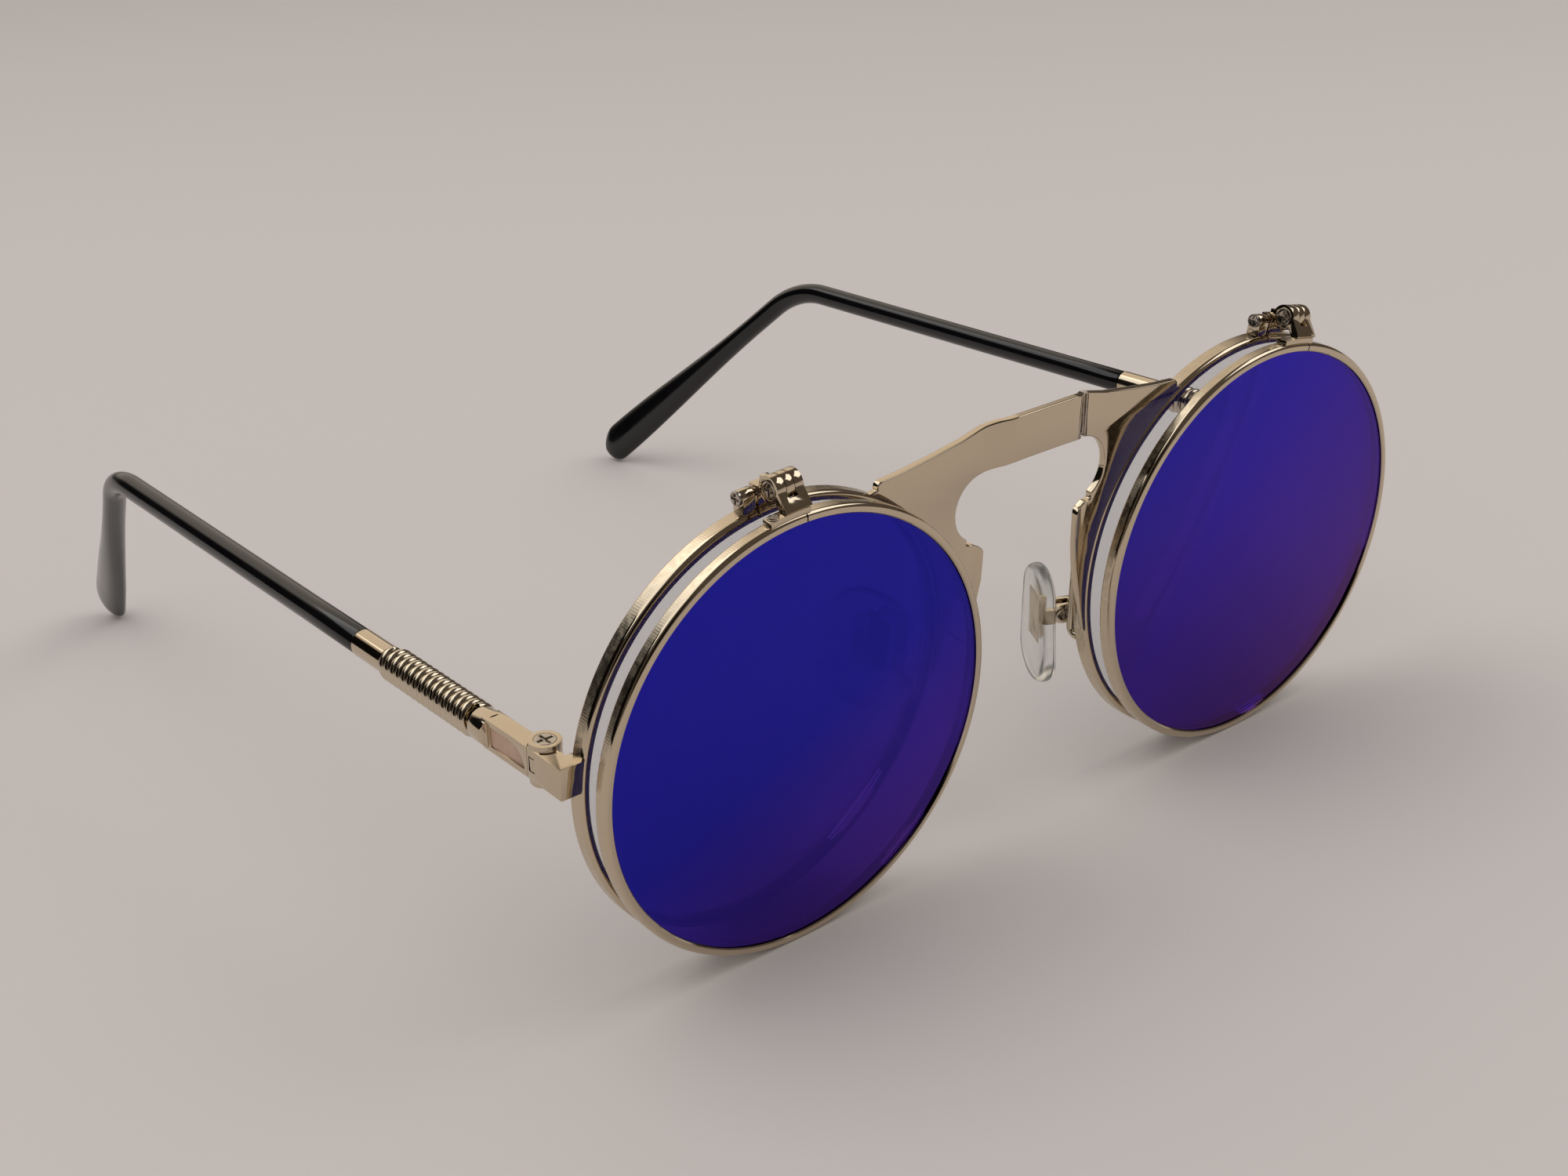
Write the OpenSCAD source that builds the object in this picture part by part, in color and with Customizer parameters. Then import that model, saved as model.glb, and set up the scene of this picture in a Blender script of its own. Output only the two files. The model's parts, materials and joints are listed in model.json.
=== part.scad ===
// Round flip-up sunglasses: a wire-framed front with clear lenses, two mirror lenses that
// flip up on top hinges, a keyhole bridge plate and folding temples with coil-wound ends.
// The front faces -Y, the temples run back along +Y, and the rims and ear tips stand on z = 0.

/* [Rims] */
// Clear opening of each ring
eye_d = 47; // [44:0.5:52]
// Distance between the two ring centres
eye_spacing = 68.4; // [64:0.2:74]
// Radial wall of the rings
rim_wall = 0.95; // [0.8:0.05:1.4]
// Front-to-back depth of the rear rings
rear_rim_depth = 2.0; // [1.8:0.1:3]
// Front-to-back depth of the flip rings
flip_rim_depth = 1.6; // [1.4:0.1:2.4]
// Air gap between a flip ring and the rear ring behind it
flip_gap = 2.1; // [1.6:0.1:3]
// Forward lean of the whole front when it stands on a table, in degrees
front_lean = 7.1; // [0:0.1:12]
// Width of the closing gap cut through each ring
rim_slit = 0.16; // [0.1:0.02:0.3]

/* [Lenses] */
// Thickness of the clear lens
clear_lens_t = 1.4; // [1:0.1:1.8]
// Thickness of the mirror lens
mirror_lens_t = 1.0; // [0.8:0.1:1.3]
// Thickness of the tongue that seats in a ring's groove
lens_tongue_t = 0.5; // [0.4:0.05:0.8]
// Depth of the groove in the rings
lens_groove = 0.45; // [0.3:0.05:0.6]
// Clearance between a lens and its ring
lens_clear = 0.03; // [0.02:0.01:0.06]

/* [Bridge plate] */
// Sheet thickness of the bridge
bridge_t = 0.9; // [0.7:0.05:1.4]
// How far the middle of the bridge stands forward of its wings
bridge_step = 1.75; // [1:0.05:2.4]
// Half width of the forward middle strip
bridge_strip_half = 4.6; // [3.5:0.1:5.5]
// Half width at which the wings begin
bridge_fold_half = 7.8; // [7.2:0.1:8.4]
// Height of the strip above the ring centres
bridge_top = 25.8; // [24:0.1:27]
// Height of the metal in the strip
bridge_strip_h = 5.0; // [4:0.1:6]
// Radius of the keyhole cut in each wing
keyhole_r = 3.85; // [3.2:0.05:4.3]
// Height of the keyhole centres above the ring centres
keyhole_z = 15.9; // [15:0.1:17]

/* [Flip hinges] */
// Height of the flip hinge axis above the ring centre
flip_axis_r = 26.8; // [26.4:0.1:30]
// Distance of the flip axis behind the back of the flip ring
flip_axis_y = 1.0; // [0.8:0.05:1.3]
// Outside diameter of the flip hinge knuckles
flip_knuckle_d = 2.9; // [2.4:0.1:3.2]
// Width of each of the three flip hinge knuckles
flip_knuckle_w = 1.06; // [0.9:0.02:1.4]
// Diameter of the flip hinge screw
flip_pin_d = 1.1; // [0.9:0.05:1.3]
// Turn of the right flip hinge away from the top of its ring, in degrees
right_hinge_turn = 2.7; // [0:0.1:14]
// Turn of the left flip hinge away from the top of its ring, in degrees
left_hinge_turn = 11.6; // [0:0.1:14]

/* [End pieces and temple hinges] */
// Height of the end pieces and of the temple panels
end_h = 3.4; // [3:0.1:4.4]
// Height of their middle above the ring centres
end_z = 2.9; // [0:0.1:6]
// Reach of the end pieces outside the rings
end_reach = 2.3; // [2:0.1:3.4]
// Depth from the front of the rear ring to the temple seam
end_depth = 5.55; // [4.6:0.05:7]
// Wall of the end piece along the temple
end_wall = 2.0; // [1.8:0.05:2.6]
// Outside diameter of the temple hinge knuckles
knuckle_d = 3.3; // [3:0.1:3.8]
// Height of each of the three temple hinge knuckles
knuckle_h = 1.5; // [1.2:0.05:1.8]
// Diameter of the temple hinge screw
hinge_pin_d = 1.4; // [1.2:0.05:1.6]
// Running clearance of the hinge screws, radial
pin_clear = 0.03; // [0.02:0.01:0.08]
// Gap between neighbouring knuckles and round them
knuckle_gap = 0.06; // [0.04:0.01:0.12]

/* [Temples] */
// Length from the temple seam to the bend behind the ear
temple_len = 100.9; // [90:0.5:112]
// Length from the bend to the end of the ear tip
tip_len = 53.4; // [42:0.5:60]
// Drop of the temples from the lens axis, in degrees
temple_drop = 4.0; // [2:0.1:6]
// Toe-in of the temples, in degrees
temple_toe = 1.75; // [0:0.05:4]
// Angle of the bend behind the ear
ear_bend = 42.2; // [25:0.1:50]
// Lean of the bent ends towards the head, in degrees
ear_lean = 16.3; // [0:0.1:25]
// Radius of the bend
ear_bend_r = 15; // [10:0.5:24]
// Thickness of the temple panel
panel_t = 2.0; // [1.8:0.05:2.4]
// Length of the temple panel and its collar
panel_len = 9.8; // [8:0.1:13]
// Diameter of the core wire
core_d = 1.6; // [1.2:0.05:1.8]
// Outside diameter of the coil
coil_d = 3.9; // [3.4:0.1:4.4]
// Diameter of the coil's wire
coil_wire_d = 1.05; // [0.8:0.05:1.1]
// Number of turns in the coil
coil_turns = 15; // [10:1:18]
// Distance from turn to turn
coil_pitch = 1.22; // [1.15:0.01:1.4]
// Length of the ferrule
ferrule_len = 6.2; // [4:0.1:9]
// Diameter of the ferrule
ferrule_d = 3.15; // [2.8:0.05:3.4]
// Diameter of the ear tip's round stretch
tip_d = 3.0; // [2.6:0.1:3.4]
// Width of the ear tip's flat end
paddle_w = 6.4; // [5:0.1:8]
// Thickness of the ear tip's flat end
paddle_t = 2.7; // [2.4:0.1:3.2]

/* [Nose pads] */
// Distance of each pad's middle from the centre line
pad_x = 9.6; // [9:0.1:10.4]
// Distance of each pad's middle behind the flip rings
pad_y = 8.7; // [8.2:0.1:9.6]
// Height of each pad's middle, from the ring centres
pad_z = -6.2; // [-7.2:0.1:-5.2]
// Splay of the pads, in degrees
pad_splay = 26; // [18:0.5:34]
// Frontal angle of the pads, in degrees
pad_front = 3; // [0:0.5:10]
// Height of a pad
pad_h = 14.8; // [12:0.1:16]
// Width of a pad
pad_w = 8.4; // [7:0.1:9]
// Thickness of a pad
pad_t = 1.9; // [1.6:0.05:2.4]
// Diameter of the pad arm wire
arm_d = 0.95; // [0.8:0.05:1.2]

/* [Hidden] */
$fn = 96;
RIGHT = -1;
LEFT = 1;
steel = "#b9b0a2";
black = "#151515";
mirror_blue = "#2a1f9a";
clear_tint = "#dfe6ea";

eye_r = eye_d / 2;
rim_r = eye_r + rim_wall;
eye_x = eye_spacing / 2;
rear_y = flip_gap;
rear_back_y = rear_y + rear_rim_depth;
corner_r = 0.35;

// Standing pose: the lowest point of the leaning flip rings touches z = 0
lift = (rim_r - corner_r) * cos(front_lean) + (flip_rim_depth - corner_r) * sin(front_lean) + corner_r;
// Ear tips end: its distance behind the seam sets where the middle of the length falls
end_out_x = eye_x + rim_r + end_reach;
seam_y = rear_y + end_depth;
tip_run = tip_len * (cos(ear_bend) * cos(temple_drop) - sin(ear_bend) * cos(ear_lean) * sin(temple_drop));
tip_fall = tip_len * (cos(ear_bend) * sin(temple_drop) + sin(ear_bend) * cos(ear_lean) * cos(temple_drop));
back_y = seam_y + temple_len * cos(temple_drop) + tip_run;
back_z = end_z - temple_len * sin(temple_drop) - tip_fall;
back_floor_y = back_y * cos(front_lean) - back_z * sin(front_lean);
front_floor_y = -flip_rim_depth * cos(front_lean) - (rim_r - corner_r) * sin(front_lean);
mid_y = (front_floor_y + back_floor_y) / 2;

module stand() {
    translate([0, -mid_y, lift]) rotate([front_lean, 0, 0]) children();
}

// Draws the right-hand side as it is, and the left-hand side as its mirror image
module on_side(side) {
    mirror([side == RIGHT ? 0 : 1, 0, 0]) children();
}

// ---- round pieces turned about the Y axis of a ring ----

// A profile drawn as [radius, y] is spun about the ring's axis
module spin_y() {
    rotate([-90, 0, 0]) rotate_extrude($fn = 180) children();
}

module ring_profile(depth) {
    lip = (depth - lens_tongue_t) / 2;
    difference() {
        union() {
            translate([eye_r, corner_r]) square([rim_wall, depth - 2 * corner_r]);
            translate([eye_r, 0]) square([rim_wall - corner_r, depth]);
            translate([rim_r - corner_r, corner_r]) circle(corner_r, $fn = 32);
            translate([rim_r - corner_r, depth - corner_r]) circle(corner_r, $fn = 32);
        }
        translate([eye_r - 0.5, lip - lens_clear])
            square([0.5 + lens_groove, lens_tongue_t + 2 * lens_clear]);
    }
}

module lens_profile(depth, thick) {
    middle = depth / 2;
    translate([0, middle - thick / 2]) square([eye_r - 2 * lens_clear, thick]);
    translate([0, middle - lens_tongue_t / 2]) square([eye_r + lens_groove - lens_clear, lens_tongue_t]);
}

// ---- flip hinge, drawn at the top of a ring, then turned about the ring's axis ----

hinge_w = 3 * flip_knuckle_w;
screw_post_y = rear_y + 1.2;
screw_post_r = rim_r + 1.35;
lock_pin_d = 0.8;
slit_x = -hinge_w / 2 - 0.3;
lug_w = 1.5;
lug_x = slit_x - rim_slit / 2 - lug_w;

function hinge_turn(side) = side == RIGHT ? -right_hinge_turn : left_hinge_turn;

module at_hinge(side) {
    translate([side * eye_x, 0, 0]) rotate([0, hinge_turn(side), 0]) children();
}

module along_x(x0, length, r) {
    translate([x0, 0, 0]) rotate([0, 90, 0]) cylinder(h = length, r = r, $fn = 64);
}

module at_flip_axis() {
    translate([0, flip_axis_y, flip_axis_r]) children();
}

module rim_slit_cut(y0, depth, x) {
    translate([x - rim_slit / 2, y0 - 0.5, eye_r - 1]) cube([rim_slit, depth + 1, rim_wall + 2]);
}

module rear_rim(side) {
    color(steel) stand() at_hinge(side) {
        difference() {
            union() {
                translate([0, rear_y, 0]) spin_y() ring_profile(rear_rim_depth);
                rear_lug();
            }
            rim_slit_cut(rear_y, rear_rim_depth, slit_x);
            translate([0, screw_post_y, screw_post_r]) along_x(lug_x - 1, lug_w + 2, lock_pin_d / 2 + pin_clear);
        }
    }
}

// Lug beside the hinge that the rim's closing screw pulls up to the rear leaf
module rear_lug() {
    difference() {
        union() {
            translate([lug_x, screw_post_y - 0.85, rim_r - 0.4])
                cube([lug_w, 1.7, screw_post_r - rim_r + 0.4]);
            translate([0, screw_post_y, screw_post_r]) along_x(lug_x, lug_w, 0.85);
        }
        translate([0, rear_y - 1, 0]) rotate([-90, 0, 0]) cylinder(h = rear_rim_depth + 2, r = eye_r + 0.6, $fn = 180);
    }
}

module clear_lens(side) {
    color(clear_tint, 0.35) stand() translate([side * eye_x, rear_y, 0])
        spin_y() lens_profile(rear_rim_depth, clear_lens_t);
}

module flip_rim(side) {
    color(steel) stand() at_hinge(side) difference() {
        translate([0, -flip_rim_depth, 0]) spin_y() ring_profile(flip_rim_depth);
        rim_slit_cut(-flip_rim_depth, flip_rim_depth, hinge_w / 2 - 0.55);
        at_foot_screw() cylinder(h = 3, r = foot_screw_d / 2, center = true, $fn = 48);
    }
}

module mirror_lens(side) {
    color(mirror_blue, 0.9) stand() translate([side * eye_x, -flip_rim_depth, 0])
        spin_y() lens_profile(flip_rim_depth, mirror_lens_t);
}

// Radial screw that closes the flip ring under the foot of the front leaf
foot_screw_d = 0.7;
foot_screw_x = -hinge_w / 2 - 0.9;

module at_foot_screw() {
    rotate([0, foot_screw_x / rim_r * 180 / PI, 0])
        translate([0, -flip_rim_depth / 2, rim_r]) children();
}

foot_t = 0.55;
foot_x0 = -hinge_w / 2 - 1.7;
foot_x1 = hinge_w / 2;

// Curved foot that lies on the outside of the flip ring
module front_foot() {
    intersection() {
        translate([0, -flip_rim_depth + 0.15, 0]) rotate([-90, 0, 0]) difference() {
            cylinder(h = flip_rim_depth - 0.3, r = rim_r + foot_t, $fn = 180);
            translate([0, 0, -1]) cylinder(h = flip_rim_depth + 2, r = rim_r, $fn = 180);
        }
        translate([foot_x0, -flip_rim_depth, rim_r - 2]) cube([foot_x1 - foot_x0, flip_rim_depth, 4]);
    }
}

arm_reach = sqrt(pow(flip_axis_y + flip_rim_depth / 2, 2) + pow(flip_axis_r - rim_r, 2));
arm_tilt = atan2(flip_axis_y + flip_rim_depth / 2, flip_axis_r - rim_r);

web_y = -flip_knuckle_d / 2 + 0.25;

// Web from the foot up to one outer knuckle
module front_web(x0) {
    at_flip_axis() translate([x0, 0, 0]) rotate([-arm_tilt, 0, 0])
        translate([0, web_y, -arm_reach + 0.1]) cube([flip_knuckle_w, 1, arm_reach - 0.1]);
}

module front_leaf(side) {
    color(steel) stand() at_hinge(side) difference() {
        union() {
            front_foot();
            for (x0 = [-hinge_w / 2, hinge_w / 2 - flip_knuckle_w]) {
                front_web(x0);
                at_flip_axis() along_x(x0, flip_knuckle_w, flip_knuckle_d / 2);
            }
            // Cross web between the two outer knuckles, clear of the middle one
            at_flip_axis() rotate([-arm_tilt, 0, 0])
                translate([-hinge_w / 2, web_y, -arm_reach + 0.1])
                    cube([hinge_w, 0.9, arm_reach - flip_knuckle_d / 2 - 0.2]);
        }
        at_flip_axis() along_x(-hinge_w, 2 * hinge_w, flip_pin_d / 2);
        at_flip_axis() along_x(-hinge_w / 2 - 1, 1 + 0.4, flip_head_d / 2);
        rotate([-90, 0, 0]) translate([0, 0, -10]) cylinder(h = 20, r = rim_r, $fn = 180);
        at_foot_screw() cylinder(h = 3, r = foot_screw_d / 2, center = true, $fn = 48);
    }
}

flip_head_d = 1.9;

module cross_slot(d, depth) {
    for (turn = [0, 90]) rotate([0, 0, turn]) cube([d * 0.78, 0.28, 2 * depth], center = true);
}

// Screw drawn with its head at z = 0 and its shank along -z
module screw(head_d, head_h, pin_d, pin_l) {
    difference() {
        union() {
            translate([0, 0, -head_h]) cylinder(h = head_h, r = head_d / 2, $fn = 64);
            translate([0, 0, -pin_l]) cylinder(h = pin_l, r = pin_d / 2, $fn = 64);
        }
        cross_slot(head_d, head_h * 0.6);
    }
}

module flip_screw(side) {
    color(steel) stand() at_hinge(side) at_flip_axis() translate([-hinge_w / 2, 0, 0])
        rotate([0, -90, 0]) screw(flip_head_d - 0.04, 0.4, flip_pin_d - 0.02, hinge_w);
}

module lock_screw(side) {
    color(steel) stand() at_hinge(side) at_foot_screw() translate([0, 0, foot_t + 0.1])
        screw(foot_screw_d + 0.5, 0.1, foot_screw_d - 0.02, foot_t + 0.35);
}

// Rear leaf: a block soldered on the rear ring that carries the middle knuckle
module rear_leaf(side) {
    block_y = flip_axis_y + flip_knuckle_d / 2 + 0.15;
    color(steel) stand() at_hinge(side) difference() {
        union() {
            translate([-hinge_w / 2, block_y, rim_r - 1])
                cube([hinge_w, rear_back_y - 0.15 - block_y, screw_post_r - rim_r + 1.85]);
            at_flip_axis() along_x(-flip_knuckle_w / 2 + knuckle_gap, flip_knuckle_w - 2 * knuckle_gap,
                flip_knuckle_d / 2);
            translate([-flip_knuckle_w / 2 + knuckle_gap, flip_axis_y, flip_axis_r - 1.3])
                cube([flip_knuckle_w - 2 * knuckle_gap, rear_back_y - 0.4 - flip_axis_y, 1.6]);
        }
        rotate([-90, 0, 0]) translate([0, 0, -10]) cylinder(h = 20, r = rim_r, $fn = 180);
        at_flip_axis() along_x(-hinge_w, 2 * hinge_w, flip_pin_d / 2 + pin_clear);
        translate([0, screw_post_y, screw_post_r]) along_x(-hinge_w, 1.5 * hinge_w, lock_pin_d / 2);
    }
}

module rim_screw(side) {
    color(steel) stand() at_hinge(side) translate([lug_x - 0.35, screw_post_y, screw_post_r])
        rotate([0, -90, 0]) screw(1.5, 0.35, lock_pin_d - 0.02, 0.35 + lug_w + 1.9);
}

// ---- bridge plate ----

lobe_top_z = 11.6;
lobe_x = 7.0;
lobe_foot_z = -4.5;
wing_tip_x = 21.8;
wing_tip_z = 22.4;
wing_mid = [14.8, 23.4];

keyhole_x = 7.3;
fold_drop = 1.05;
strip_bottom = bridge_top - bridge_strip_h;

// Adds the mirror image of a run of points that starts and ends on the centre line
function both_halves(points) = concat(points, [for (i = [len(points) - 1 : -1 : 0]) [-points[i][0], points[i][1]]]);

// Half of the outline, looked at from the front, with x measured from the centre line
outline_half = [
    [bridge_strip_half, bridge_top], [bridge_fold_half, bridge_top - fold_drop],
    wing_mid, [wing_tip_x, wing_tip_z], [eye_x - 8, 20], [eye_x - 8, 0],
    [eye_x - rim_r + 0.6, lobe_foot_z - 0.6], [lobe_x + 0.55, 4.8], [lobe_x, lobe_top_z - 1.6],
    [lobe_x + 0.25, lobe_top_z - 0.4], [lobe_x + 0.9, lobe_top_z + 0.35],
    [keyhole_x + 1.9, keyhole_z - keyhole_r + 0.5], [keyhole_x, keyhole_z],
    [bridge_fold_half, strip_bottom - fold_drop], [bridge_strip_half, strip_bottom]
];

// Half of the bent sheet seen from above, round from its front to its back
sheet_half = [
    [bridge_strip_half, rear_y - bridge_step], [bridge_fold_half, rear_y], [eye_x, rear_y],
    [eye_x, rear_y + bridge_t], [bridge_fold_half - 0.25, rear_y + bridge_t],
    [bridge_strip_half - 0.25, rear_y - bridge_step + bridge_t]
];

module bridge_plate() {
    color(steel) stand() difference() {
        intersection() {
            translate([0, 10, 0]) rotate([90, 0, 0]) linear_extrude(20) polygon(both_halves(outline_half));
            translate([0, 0, -20]) linear_extrude(60) polygon(both_halves(sheet_half));
        }
        for (side = [RIGHT, LEFT]) {
            translate([side * keyhole_x, -10, keyhole_z]) rotate([-90, 0, 0])
                cylinder(h = 20, r = keyhole_r, $fn = 96);
            translate([side * eye_x, -10, 0]) rotate([-90, 0, 0]) cylinder(h = 20, r = rim_r, $fn = 180);
        }
    }
}

// ---- end piece, temple hinge and temple, all drawn on the right-hand side ----

hinge_x = -end_out_x + knuckle_d / 2;
hinge_y = seam_y - 0.7;
knuckle_low = end_z - 1.5 * knuckle_h;
seam_gap = 0.06;
temple_head_d = 2.3;
temple_head_h = 0.45;

module knuckle(from, count) {
    translate([hinge_x, hinge_y, knuckle_low + from * knuckle_h])
        cylinder(h = count * knuckle_h, r = knuckle_d / 2, $fn = 72);
}

module end_piece(side) {
    mid_low = knuckle_low + knuckle_h - knuckle_gap;
    color(steel) stand() on_side(side) difference() {
        union() {
            translate([-end_out_x, rear_y, end_z - end_h / 2]) cube([end_wall, end_depth, end_h]);
            translate([-end_out_x, rear_y, end_z - end_h / 2]) cube([end_reach + 1.5, rear_rim_depth, end_h]);
            knuckle(0, 1);
            knuckle(2, 1);
        }
        translate([-eye_x, 0, 0]) rotate([-90, 0, 0]) cylinder(h = rear_back_y + 0.01, r = rim_r, $fn = 180);
        // Room for the temple's middle knuckle
        translate([hinge_x, hinge_y, mid_low])
            cylinder(h = knuckle_h + 2 * knuckle_gap, r = knuckle_d / 2 + knuckle_gap, $fn = 72);
        translate([hinge_x, hinge_y, knuckle_low - 1])
            cylinder(h = 3 * knuckle_h + 2, r = hinge_pin_d / 2, $fn = 64);
        translate([hinge_x, hinge_y, knuckle_low + 3 * knuckle_h - temple_head_h])
            cylinder(h = 1, r = temple_head_d / 2, $fn = 64);
    }
}

module temple_screw(side) {
    color(steel) stand() on_side(side) translate([hinge_x, hinge_y, knuckle_low + 3 * knuckle_h])
        screw(temple_head_d - 0.04, temple_head_h - 0.02, hinge_pin_d - 0.02, 3 * knuckle_h);
}

// Temple frame: origin in the middle of the seam, +y along the straight stretch
module temple_frame() {
    translate([-end_out_x + panel_t / 2, seam_y, end_z]) rotate([-temple_drop, 0, -temple_toe]) children();
}

module along_y(y0, length, r) {
    translate([0, y0, 0]) rotate([-90, 0, 0]) cylinder(h = length, r = r, $fn = 72);
}

collar_r = 1.8;
collar_len = 2.4;
socket_depth = 1.6;
socket_clear = 0.02;

module temple_front(side) {
    color(steel) stand() on_side(side) difference() {
        union() {
            temple_frame() {
                translate([-panel_t / 2, -1.5, -end_h / 2]) cube([panel_t, panel_len - collar_len + 2.3, end_h]);
                difference() {
                    along_y(panel_len - collar_len, collar_len, collar_r);
                    translate([-panel_t / 2, panel_len - collar_len - 0.6, 0]) rotate([0, 0, 40])
                        translate([-3, -3, -3]) cube([3, 6, 6]);
                }
            }
            translate([0, 0, knuckle_gap]) middle_knuckle();
            translate([hinge_x, hinge_y + 0.4, knuckle_low + knuckle_h + knuckle_gap])
                cube([knuckle_d / 2, 2.6, knuckle_h - 2 * knuckle_gap]);
        }
        // The panel stops at the seam and clears the end piece's own knuckles
        difference() {
            translate([-end_out_x - 3, seam_y - 5, end_z - 5]) cube([10, 5 + seam_gap, 10]);
            knuckle_room(1, knuckle_gap);
        }
        for (level = [0, 2]) translate([0, 0, level == 0 ? -1 : 0]) knuckle_clearance(level);
        translate([hinge_x, hinge_y, knuckle_low]) cylinder(h = 3 * knuckle_h, r = hinge_pin_d / 2 + pin_clear, $fn = 64);
        temple_frame() {
            along_y(panel_len - socket_depth, socket_depth + 1, core_d / 2 + socket_clear);
            panel_recess();
        }
    }
}

module middle_knuckle() {
    translate([hinge_x, hinge_y, knuckle_low + knuckle_h])
        cylinder(h = knuckle_h - 2 * knuckle_gap, r = knuckle_d / 2, $fn = 72);
}

module knuckle_room(level, gap) {
    translate([hinge_x, hinge_y, knuckle_low + level * knuckle_h + gap])
        cylinder(h = knuckle_h - 2 * gap, r = knuckle_d / 2 + 0.001, $fn = 72);
}

module knuckle_clearance(level) {
    translate([hinge_x, hinge_y, knuckle_low + level * knuckle_h - knuckle_gap])
        cylinder(h = knuckle_h + 2 * knuckle_gap + 1, r = knuckle_d / 2 + knuckle_gap, $fn = 72);
}

// Shallow panel pressed into the outside of the temple front
module panel_recess() {
    recess = 0.14;
    border = 0.6;
    round_r = end_h - 2 * border;
    floor_len = panel_len - collar_len - 2 * border - round_r;
    translate([-panel_t / 2 - 1, border + round_r, -end_h / 2 + border]) {
        translate([0, -0.01, 0]) cube([1 + recess, floor_len, round_r]);
        intersection() {
            rotate([0, 90, 0]) cylinder(h = 1 + recess, r = round_r, $fn = 64);
            translate([0, -round_r, 0]) cube([1 + recess, round_r, round_r]);
        }
    }
}

tangent_len = ear_bend_r * tan(ear_bend / 2);
straight_end = temple_len - tangent_len;
tip_straight = tip_len - tangent_len;

// Middle of the bar at a distance along it, in the bend plane, and its fall there in degrees
function bend_at(along) = min(max((along - straight_end) / (ear_bend_r * PI / 180), 0), ear_bend);
function bar_y(along) = min(along, straight_end) + ear_bend_r * sin(bend_at(along))
    + max(along - straight_end - bend_len, 0) * cos(ear_bend);
function bar_z(along) = -ear_bend_r * (1 - cos(bend_at(along)))
    - max(along - straight_end - bend_len, 0) * sin(ear_bend);
bend_len = ear_bend_r * PI / 180 * ear_bend;
bend_step = 6;
bend_stations = [for (turn = [0 : bend_step : ear_bend]) straight_end + turn * ear_bend_r * PI / 180];

// One ring of a swept bar: half_x across the bend plane and half_z in it
function bar_ring(along, half_x, half_z, sides) = [
    for (i = [0 : sides - 1])
        let (turn = 360 * i / sides, fall = bend_at(along), up = half_z * sin(turn))
            [half_x * cos(turn), bar_y(along) + up * sin(fall), bar_z(along) + up * cos(fall)]
];

// A bar through the ear bend; sections hold [distance along it, half_x, half_z]
module bent_bar(sections, sides) {
    rings = len(sections);
    points = [for (section = sections) each bar_ring(section[0], section[1], section[2], sides)];
    side_faces = [
        for (ring = [0 : rings - 2], i = [0 : sides - 1])
            let (a = ring * sides + i, b = ring * sides + (i + 1) % sides)
                each [[a, a + sides, b + sides], [a, b + sides, b]]
    ];
    first_cap = [for (i = [0 : sides - 1]) i];
    last_cap = [for (i = [sides - 1 : -1 : 0]) (rings - 1) * sides + i];
    rotate([0, -ear_lean, 0]) polyhedron(points, concat(side_faces, [first_cap], [last_cap]));
}

function round_bar(from, to, r) = concat(
    [[from, r, r]],
    [for (along = bend_stations) [along, r, r]],
    [[straight_end + bend_len, r, r], [to, r, r]]
);

core_end = straight_end + bend_len + tip_straight - 9;
core_sides = 16;

module core_wire(side) {
    color(steel) stand() on_side(side) temple_frame()
        bent_bar(round_bar(panel_len - socket_depth + 0.05, core_end, core_d / 2), core_sides);
}

coil_start = panel_len + 0.05;
coil_len = coil_turns * coil_pitch;

// The coil is closed up into a scalloped sleeve of the same outside and inside size
module coil(side) {
    mean_r = (coil_d - coil_wire_d) / 2;
    color(steel) stand() on_side(side) temple_frame() translate([0, coil_start, 0]) rotate([-90, 0, 0])
        rotate_extrude($fn = 72) {
            for (turn = [0 : coil_turns - 1])
                translate([mean_r, coil_pitch * (turn + 0.5)]) circle(coil_wire_d / 2, $fn = 24);
            translate([mean_r - 0.25, coil_pitch / 2]) square([0.4, coil_len - coil_pitch]);
        }
}

ferrule_start = coil_start + coil_len + 0.02;
tip_start = ferrule_start + ferrule_len + 0.02;

module ferrule(side) {
    color(steel) stand() on_side(side) temple_frame() difference() {
        along_y(ferrule_start, ferrule_len, ferrule_d / 2);
        along_y(ferrule_start - 1, ferrule_len + 2, core_d / 2 + socket_clear);
    }
}

paddle_start = 4;
tip_end = straight_end + bend_len + tip_straight;
widen_len = tip_straight - paddle_start - paddle_w / 2;

// Half height of the flat end: it widens smoothly and closes in a half circle
function paddle_half(along) =
    let (u = (along - (tip_end - paddle_w / 2 - widen_len)) / widen_len, ease = (1 - cos(180 * min(max(u, 0), 1))) / 2)
        tip_d / 2 + (paddle_w - tip_d) / 2 * ease;
function paddle_half_t(along) = tip_d / 2 + (paddle_t - tip_d) / (paddle_w - tip_d) * (paddle_half(along) - tip_d / 2);

module ear_tip(side) {
    r = tip_d / 2;
    widening = [for (i = [0 : 7]) tip_end - paddle_w / 2 - widen_len + i * widen_len / 7];
    bore = round_bar(tip_start, core_end + 0.1, core_d / 2 + socket_clear);
    // The surface runs out of the bore from its blind end, then along the outside
    sections = concat(
        [for (i = [len(bore) - 1 : -1 : 0]) bore[i]],
        [[tip_start, r, r]],
        [for (along = bend_stations) [along, r, r]],
        [[straight_end + bend_len, r, r]],
        [for (along = widening) [along, paddle_half_t(along), paddle_half(along)]],
        [for (turn = [22.5 : 22.5 : 67.5]) [tip_end - paddle_w / 2 * (1 - sin(turn)),
            paddle_t / 2 * pow(cos(turn), 0.4), paddle_w / 2 * cos(turn)]],
        [[tip_end, paddle_t / 5, paddle_w / 12]]
    );
    color(black) stand() on_side(side) temple_frame() bent_bar(sections, 20);
}

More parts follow.
